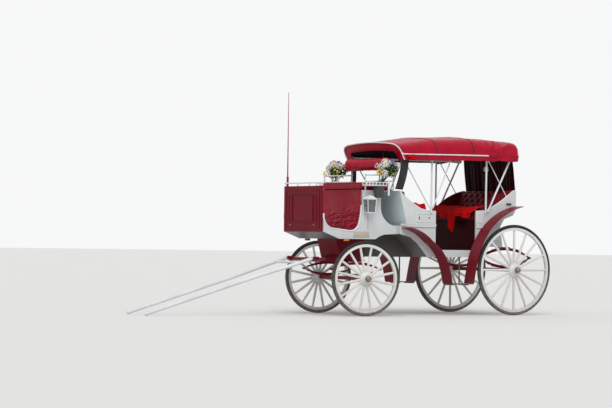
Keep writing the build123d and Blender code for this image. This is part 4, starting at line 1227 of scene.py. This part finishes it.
class CARRIAGE_OT_lanterns(bpy.types.Operator):
    """Glazed lanterns on the sides of the boot"""

    bl_idname = "carriage.lanterns"
    bl_label = "Lanterns"

    def execute(self, context):
        low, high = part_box("lanterns")
        frames, panes = bmesh.new(), bmesh.new()
        for side in (1, -1):
            place = Vector(((low[0] + high[0]) / 2, side * (high[1] - 0.059), 0))
            self.one(frames, panes, place, side)
        to_piece(frames, "lantern_frames", ["white trim"], replaces=["lanterns"])
        to_piece(panes, "lantern_glass", ["lantern glass"])
        return {"FINISHED"}

    def one(self, frames, panes, place, side):
        """One lantern: a tapered frame, glass, a stepped roof, a foot and its bracket."""
        low_z, eave_z, top_z = 1.262, 1.424, 1.470
        foot, eave = (0.052, 0.046), (0.064, 0.057)
        for sx in (-1, 1):
            for sy in (-1, 1):
                add_bar(frames, place + Vector((sx * foot[0], sy * foot[1], low_z)),
                        place + Vector((sx * eave[0], sy * eave[1], eave_z)), 0.0055, 8)
        for z, half, thick in ((low_z - 0.006, 0.056, 0.012), (eave_z - 0.004, 0.068, 0.011)):
            add_box(frames, place + Vector((-half, -half * 0.94, z)),
                    place + Vector((half, half * 0.94, z + thick)), 0.003)
        self.four_sided(frames, place, (eave_z + top_z) / 2 + 0.002, 0.096, 0.040, top_z - eave_z - 0.006)
        for z, radius in ((top_z, 0.012), (low_z - 0.004, 0.011)):
            add_ball(frames, place + Vector((0, 0, z)), radius)
        add_box(frames, (place.x - 0.012, side * (BOOT_SIDE + 0.0005), 1.340),
                (place.x + 0.012, place.y - side * 0.03, 1.360), 0.003)
        glass = self.four_sided(panes, place, (low_z + eave_z) / 2, 0.070, 0.087, eave_z - low_z - 0.010)
        for vertex in glass:
            vertex.co.y = place.y + (vertex.co.y - place.y) * 0.93

    def four_sided(self, bm, place, z, radius, top_radius, height):
        """Add a square tapered block about a height of the lantern."""
        turn = Matrix.Translation(place + Vector((0, 0, z))) @ Matrix.Rotation(math.pi / 4, 4, "Z")
        return bmesh.ops.create_cone(bm, cap_ends=True, segments=4, radius1=radius, radius2=top_radius,
                                     depth=height, matrix=turn)["verts"]


# Trim of the body and the wheels

def block_on(side, x, first, last, bevel=0.0, segments=2):
    """A mesh with one block on a side of the body, its corners counted from x."""
    bm = bmesh.new()
    add_box(bm, *((x + along, side * across, z) for along, across, z in (first, last)), bevel, segments)
    return bm


class CARRIAGE_OT_trim(bpy.types.Operator):
    """Raised mouldings, edge beads, pinstripes, a blank plate and markers on the body"""

    bl_idname = "carriage.trim"
    bl_label = "Body trim"

    def execute(self, context):
        tub = [(-1.044, 1.291), (-0.955, 1.298),
               *arc_points((-0.833, 1.316), (-0.690, 1.393), (-0.495, 1.540), 18)]
        back = [(0.491, 1.303), *arc_points((0.350, 1.310), (0.130, 1.418), (-0.078, 1.560), 18),
                (-0.100, 1.572), (-0.128, 1.574)]
        well = [(0.016, 1.355), *arc_points((0.016, 1.355), (0.026, 1.245), (0.048, 1.140), 8)[1:],
                *arc_points((0.048, 1.140), (0.105, 1.056), (0.200, 1.037), 10)[1:],
                *arc_points((0.450, 1.064), (0.540, 1.130), (0.564, 1.245), 10)]
        edges = (("front_tub", shifted(FRONT, tub), 0.521, 0.0095),
                 ("rear_tub", shifted(REAR, back), 0.521, 0.0095),
                 ("footwell", shifted(FRONT, well), 0.4460, 0.0110))
        for side, name in SIDES:
            for label, line, y, radius in edges:
                bead(f"{label}_edge_{name}", [(x, side * y, z) for x, z in line], radius, "white trim")
            self.panels(side, name)
            self.small(side, name)
        self.dash()
        return {"FINISHED"}

    def dash(self):
        """An inner moulding on the dash panel's front and two screw heads below it."""
        low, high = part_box("dash_panel")
        x = high[0] - 0.002
        ring = rounded_ring((-0.235, low[2] + 0.128), (0.235, high[2] - 0.100), 0.010, 3)
        bead("dash_inner_moulding", [(x, y, z) for y, z in ring], 0.0065, "maroon paint",
             closed=True)
        screws = bmesh.new()
        for y in (-0.27, 0.27):
            add_bar(screws, (x - 0.002, y, low[2] + 0.085), (x + 0.006, y, low[2] + 0.085), 0.008)
        to_piece(screws, "dash_screws", ["steel"])

    def panels(self, side, name):
        """Raised rectangles beside the doorway and a ledge along the tubs."""
        frames = (("front", FRONT - 1.020, FRONT - 0.760, 1.158, 1.262),
                  ("rear", REAR + 0.405, REAR + 0.470, 1.158, 1.272))
        for label, x0, x1, z0, z1 in frames:
            ring = rounded_ring((x0, z0), (x1, z1), 0.014, 4)
            points = [(x, side * (TUB_SIDE + 0.0005), z) for x, z in ring]
            bead(f"{label}_panel_moulding_{name}", points, 0.0048, "white trim", closed=True)
        ledge = bmesh.new()
        for x0, x1 in ((FRONT - 1.044, FRONT - 0.600), (REAR + 0.335, REAR + 0.491)):
            add_box(ledge, (x0, side * 0.520, 1.094), (x1, side * 0.5425, 1.114), 0.005)
        to_piece(ledge, f"tub_ledge_{name}", ["white trim"])

    def small(self, side, name):
        """Pinstripe, blank plate, tub catch, marker lamp and fender bracket on one side."""
        stripe = block_on(side, FRONT, (-0.082, 0.4494, 1.055), (-0.078, 0.4506, 1.235))
        to_piece(stripe, f"boot_stripe_{name}", ["maroon paint"])
        plate = block_on(side, FRONT, (-0.100, 0.449, 0.957), (0.130, 0.453, 1.030), 0.001)
        to_piece(plate, f"blank_plate_{name}", ["blank plate"])
        catch = block_on(side, FRONT, (-0.802, 0.529, 1.190), (-0.790, 0.534, 1.228), 0.002)
        add_bar(catch, (FRONT - 0.946, side * 0.5290, 1.212), (FRONT - 0.946, side * 0.5345, 1.212), 0.009)
        to_piece(catch, f"tub_catch_{name}", ["dark paint"])
        lens = block_on(side, FRONT, (0.190, 0.426, 0.912), (0.262, 0.450, 0.9375), 0.005, 3)
        to_piece(lens, f"marker_lens_{name}", ["amber lens"])
        hook = block_on(side, REAR, (-0.060, 0.5305, 1.392), (0.020, 0.5365, 1.416), 0.002)
        for x in (-0.030, 0.002):
            add_ball(hook, (REAR + x, side * 0.541, 1.404), 0.011)
        to_piece(hook, f"fender_bracket_{name}", ["dark paint"])


class CARRIAGE_OT_wheels(bpy.types.Operator):
    """Rings of bolts on the hubs' flanges and on the rims' outer faces"""

    bl_idname = "carriage.wheels"
    bl_label = "Wheel fittings"

    def execute(self, context):
        for joint in frame["joints"]:
            if not joint["name"].endswith("_spin"):
                continue
            body = joint["child"]
            place = Vector(joint["pos_m"])
            axle = Vector(joint["axis"]).normalized()
            out = axle if axle.dot(Vector((0, place.y, 0))) > 0 else -axle
            turn = Matrix.Translation(place) @ out.to_track_quat("Z", "X").to_matrix().to_4x4()
            rim = (REAR_WHEEL if "rear" in body else FRONT_WHEEL) - TYRE_DEPTH - FELLOE_HALF
            to_piece(self.bolts(turn, 0.064, 0.5, (0.0, 0.031), 0.0075), f"{body}_hub_bolts", ["steel"],
                     body)
            to_piece(self.bolts(turn, rim, 0.25, (0.014, 0.0205), 0.006), f"{body}_rim_bolts",
                     ["wheel paint"], body)
        return {"FINISHED"}

    def bolts(self, turn, reach, first, depths, radius):
        """Eight bolt heads round the axle; first is the place of the first, in eighths of a turn."""
        bm = bmesh.new()
        for i in range(8):
            angle = 2 * math.pi * (i + first) / 8
            ends = [turn @ Vector((reach * math.cos(angle), reach * math.sin(angle), depth))
                    for depth in depths]
            add_bar(bm, *ends, radius, 6)
        return bm


# Finishes of the frame's own pieces

NODE_FINISH = {
    "white paint": ["lower_body", "boot", "footwell", "front_tub", "rear_tub"],
    "white trim": ["dash_rail", "driver_seat_rail", "shafts"],
    "hoop paint and shade": ["canopy_frame"],
    "maroon paint": ["dash_panel", "underframe", "turntable", "front_carriage", "splinter_bar",
                     "front_springs", "front_axle", "rear_springs", "rear_axle"],
    "fender maroon": ["front_fenders", "rear_fenders"],
    "dark paint": ["spine", "steps"],
    "shaded seat box hide": ["seat_boxes", "seat_deck"],
    "red rod": ["whip"],
}


class CARRIAGE_OT_finishes(bpy.types.Operator):
    """Give every rigid piece of the frame its finish"""

    bl_idname = "carriage.finishes"
    bl_label = "Finishes"

    def execute(self, context):
        build_materials(context.scene.carriage_colours)
        finish = {node: name for name, nodes in NODE_FINISH.items() for node in nodes}
        for node, obj in frame["nodes"].items():
            if node.startswith("wheel_"):
                finish[node] = "wheel paint"
            elif node.startswith("tyre_"):
                finish[node] = "tyre rubber"
            elif node.startswith("hub_cap_"):
                finish[node] = "cap metal"
            obj.data.materials.clear()
            obj.data.materials.append(MATERIALS[finish.get(node, "white paint")])
        return {"FINISHED"}


class CARRIAGE_OT_stage(bpy.types.Operator):
    """Floor, even light and the photograph's camera"""

    bl_idname = "carriage.stage"
    bl_label = "Stage"

    def execute(self, context):
        stage = context.scene.carriage_stage
        bm = bmesh.new()
        bmesh.ops.create_circle(bm, cap_ends=True, segments=96, radius=FLOOR_RADIUS)
        mesh = bpy.data.meshes.new("studio_floor")
        bm.to_mesh(mesh)
        bm.free()
        floor = bpy.data.objects.new("studio_floor", mesh)
        context.scene.collection.objects.link(floor)
        finish = start_material("floor")[2]
        finish({"Base Color": (*context.scene.carriage_colours.floor, 1), "Roughness": 0.9})
        mesh.materials.append(MATERIALS["floor"])
        self.light(context, stage)
        self.make_camera(context, stage)
        context.scene.view_settings.view_transform = "Standard"
        return {"FINISHED"}

    def light(self, context, stage):
        """Even light with a pale background to be seen, and a soft key light."""
        world = bpy.data.worlds.new("studio")
        context.scene.world = world
        world.use_nodes = True
        world.node_tree.nodes.clear()
        add = adder(world.node_tree)
        rays = add("ShaderNodeLightPath").outputs
        seen = calc(add, "MAXIMUM", rays["Is Camera Ray"], rays["Is Glossy Ray"])
        seen = calc(add, "MAXIMUM", seen, rays["Is Transmission Ray"])
        even = add("ShaderNodeBackground", {"Color": (1, 1, 1, 1), "Strength": stage.sky})
        shown = add("ShaderNodeBackground", {"Color": (0.93, 0.935, 0.94, 1), "Strength": 1.0})
        mix = add("ShaderNodeMixShader", {0: seen, 1: even.outputs[0], 2: shown.outputs[0]})
        add("ShaderNodeOutputWorld", {"Surface": mix.outputs[0]})
        sun = bpy.data.lights.new("key", "SUN")
        sun.energy = stage.sun
        sun.angle = math.radians(KEY_SPREAD)
        key = bpy.data.objects.new("key", sun)
        key.rotation_euler = [math.radians(turn) for turn in KEY_TURN]
        context.scene.collection.objects.link(key)

    def make_camera(self, context, stage):
        """Stand the camera where the photograph was taken from."""
        lens = bpy.data.cameras.new("photo_camera")
        lens.sensor_width = 36.0
        lens.lens = stage.lens
        lens.clip_end = 400.0
        camera = bpy.data.objects.new("photo_camera", lens)
        context.scene.collection.objects.link(camera)
        out = Vector((math.sin(stage.azimuth) * math.cos(stage.dip),
                      math.cos(stage.azimuth) * math.cos(stage.dip), math.sin(stage.dip)))
        right = (-out).cross(Vector((0, 0, 1))).normalized()
        up = right.cross(-out).normalized()
        cos_roll, sin_roll = math.cos(stage.roll), math.sin(stage.roll)
        across = right * cos_roll + up * sin_roll
        upward = up * cos_roll - right * sin_roll
        turn = Matrix((across, upward, out)).transposed().to_4x4()
        camera.matrix_world = Matrix.Translation(AIM + out * stage.distance) @ turn
        context.scene.camera = camera


SETTINGS = {"carriage_sizes": CarriageSizes, "carriage_colours": CarriageColours,
            "carriage_stage": CarriageStage}


class CARRIAGE_PT_panel(bpy.types.Panel):
    """The carriage's sizes, colours and steps"""

    bl_idname = "CARRIAGE_PT_panel"
    bl_label = "Carriage"
    bl_space_type = "VIEW_3D"
    bl_region_type = "UI"
    bl_category = "Carriage"

    def draw(self, context):
        layout = self.layout
        for name in SETTINGS:
            group = getattr(context.scene, name)
            box = layout.box()
            for key in group.bl_rna.properties.keys():
                if key not in ("rna_type", "name"):
                    box.prop(group, key)
        for step in STEPS:
            layout.operator(step.bl_idname)


STEPS = [CARRIAGE_OT_finishes, CARRIAGE_OT_canopy, CARRIAGE_OT_curtain, CARRIAGE_OT_seats,
         CARRIAGE_OT_driver_seat, CARRIAGE_OT_throws, CARRIAGE_OT_flowers, CARRIAGE_OT_planters,
         CARRIAGE_OT_lanterns, CARRIAGE_OT_trim, CARRIAGE_OT_wheels, CARRIAGE_OT_stage]
CLASSES = [*SETTINGS.values(), *STEPS, CARRIAGE_PT_panel]


def register():
    for item in CLASSES:
        bpy.utils.register_class(item)
    for name, group in SETTINGS.items():
        setattr(bpy.types.Scene, name, PointerProperty(type=group))


def unregister():
    for name in SETTINGS:
        delattr(bpy.types.Scene, name)
    for item in reversed(CLASSES):
        bpy.utils.unregister_class(item)


def main():
    register()
    for step in STEPS:
        getattr(bpy.ops.carriage, step.bl_idname.split(".")[1])()


if __name__ == "__main__":
    main()
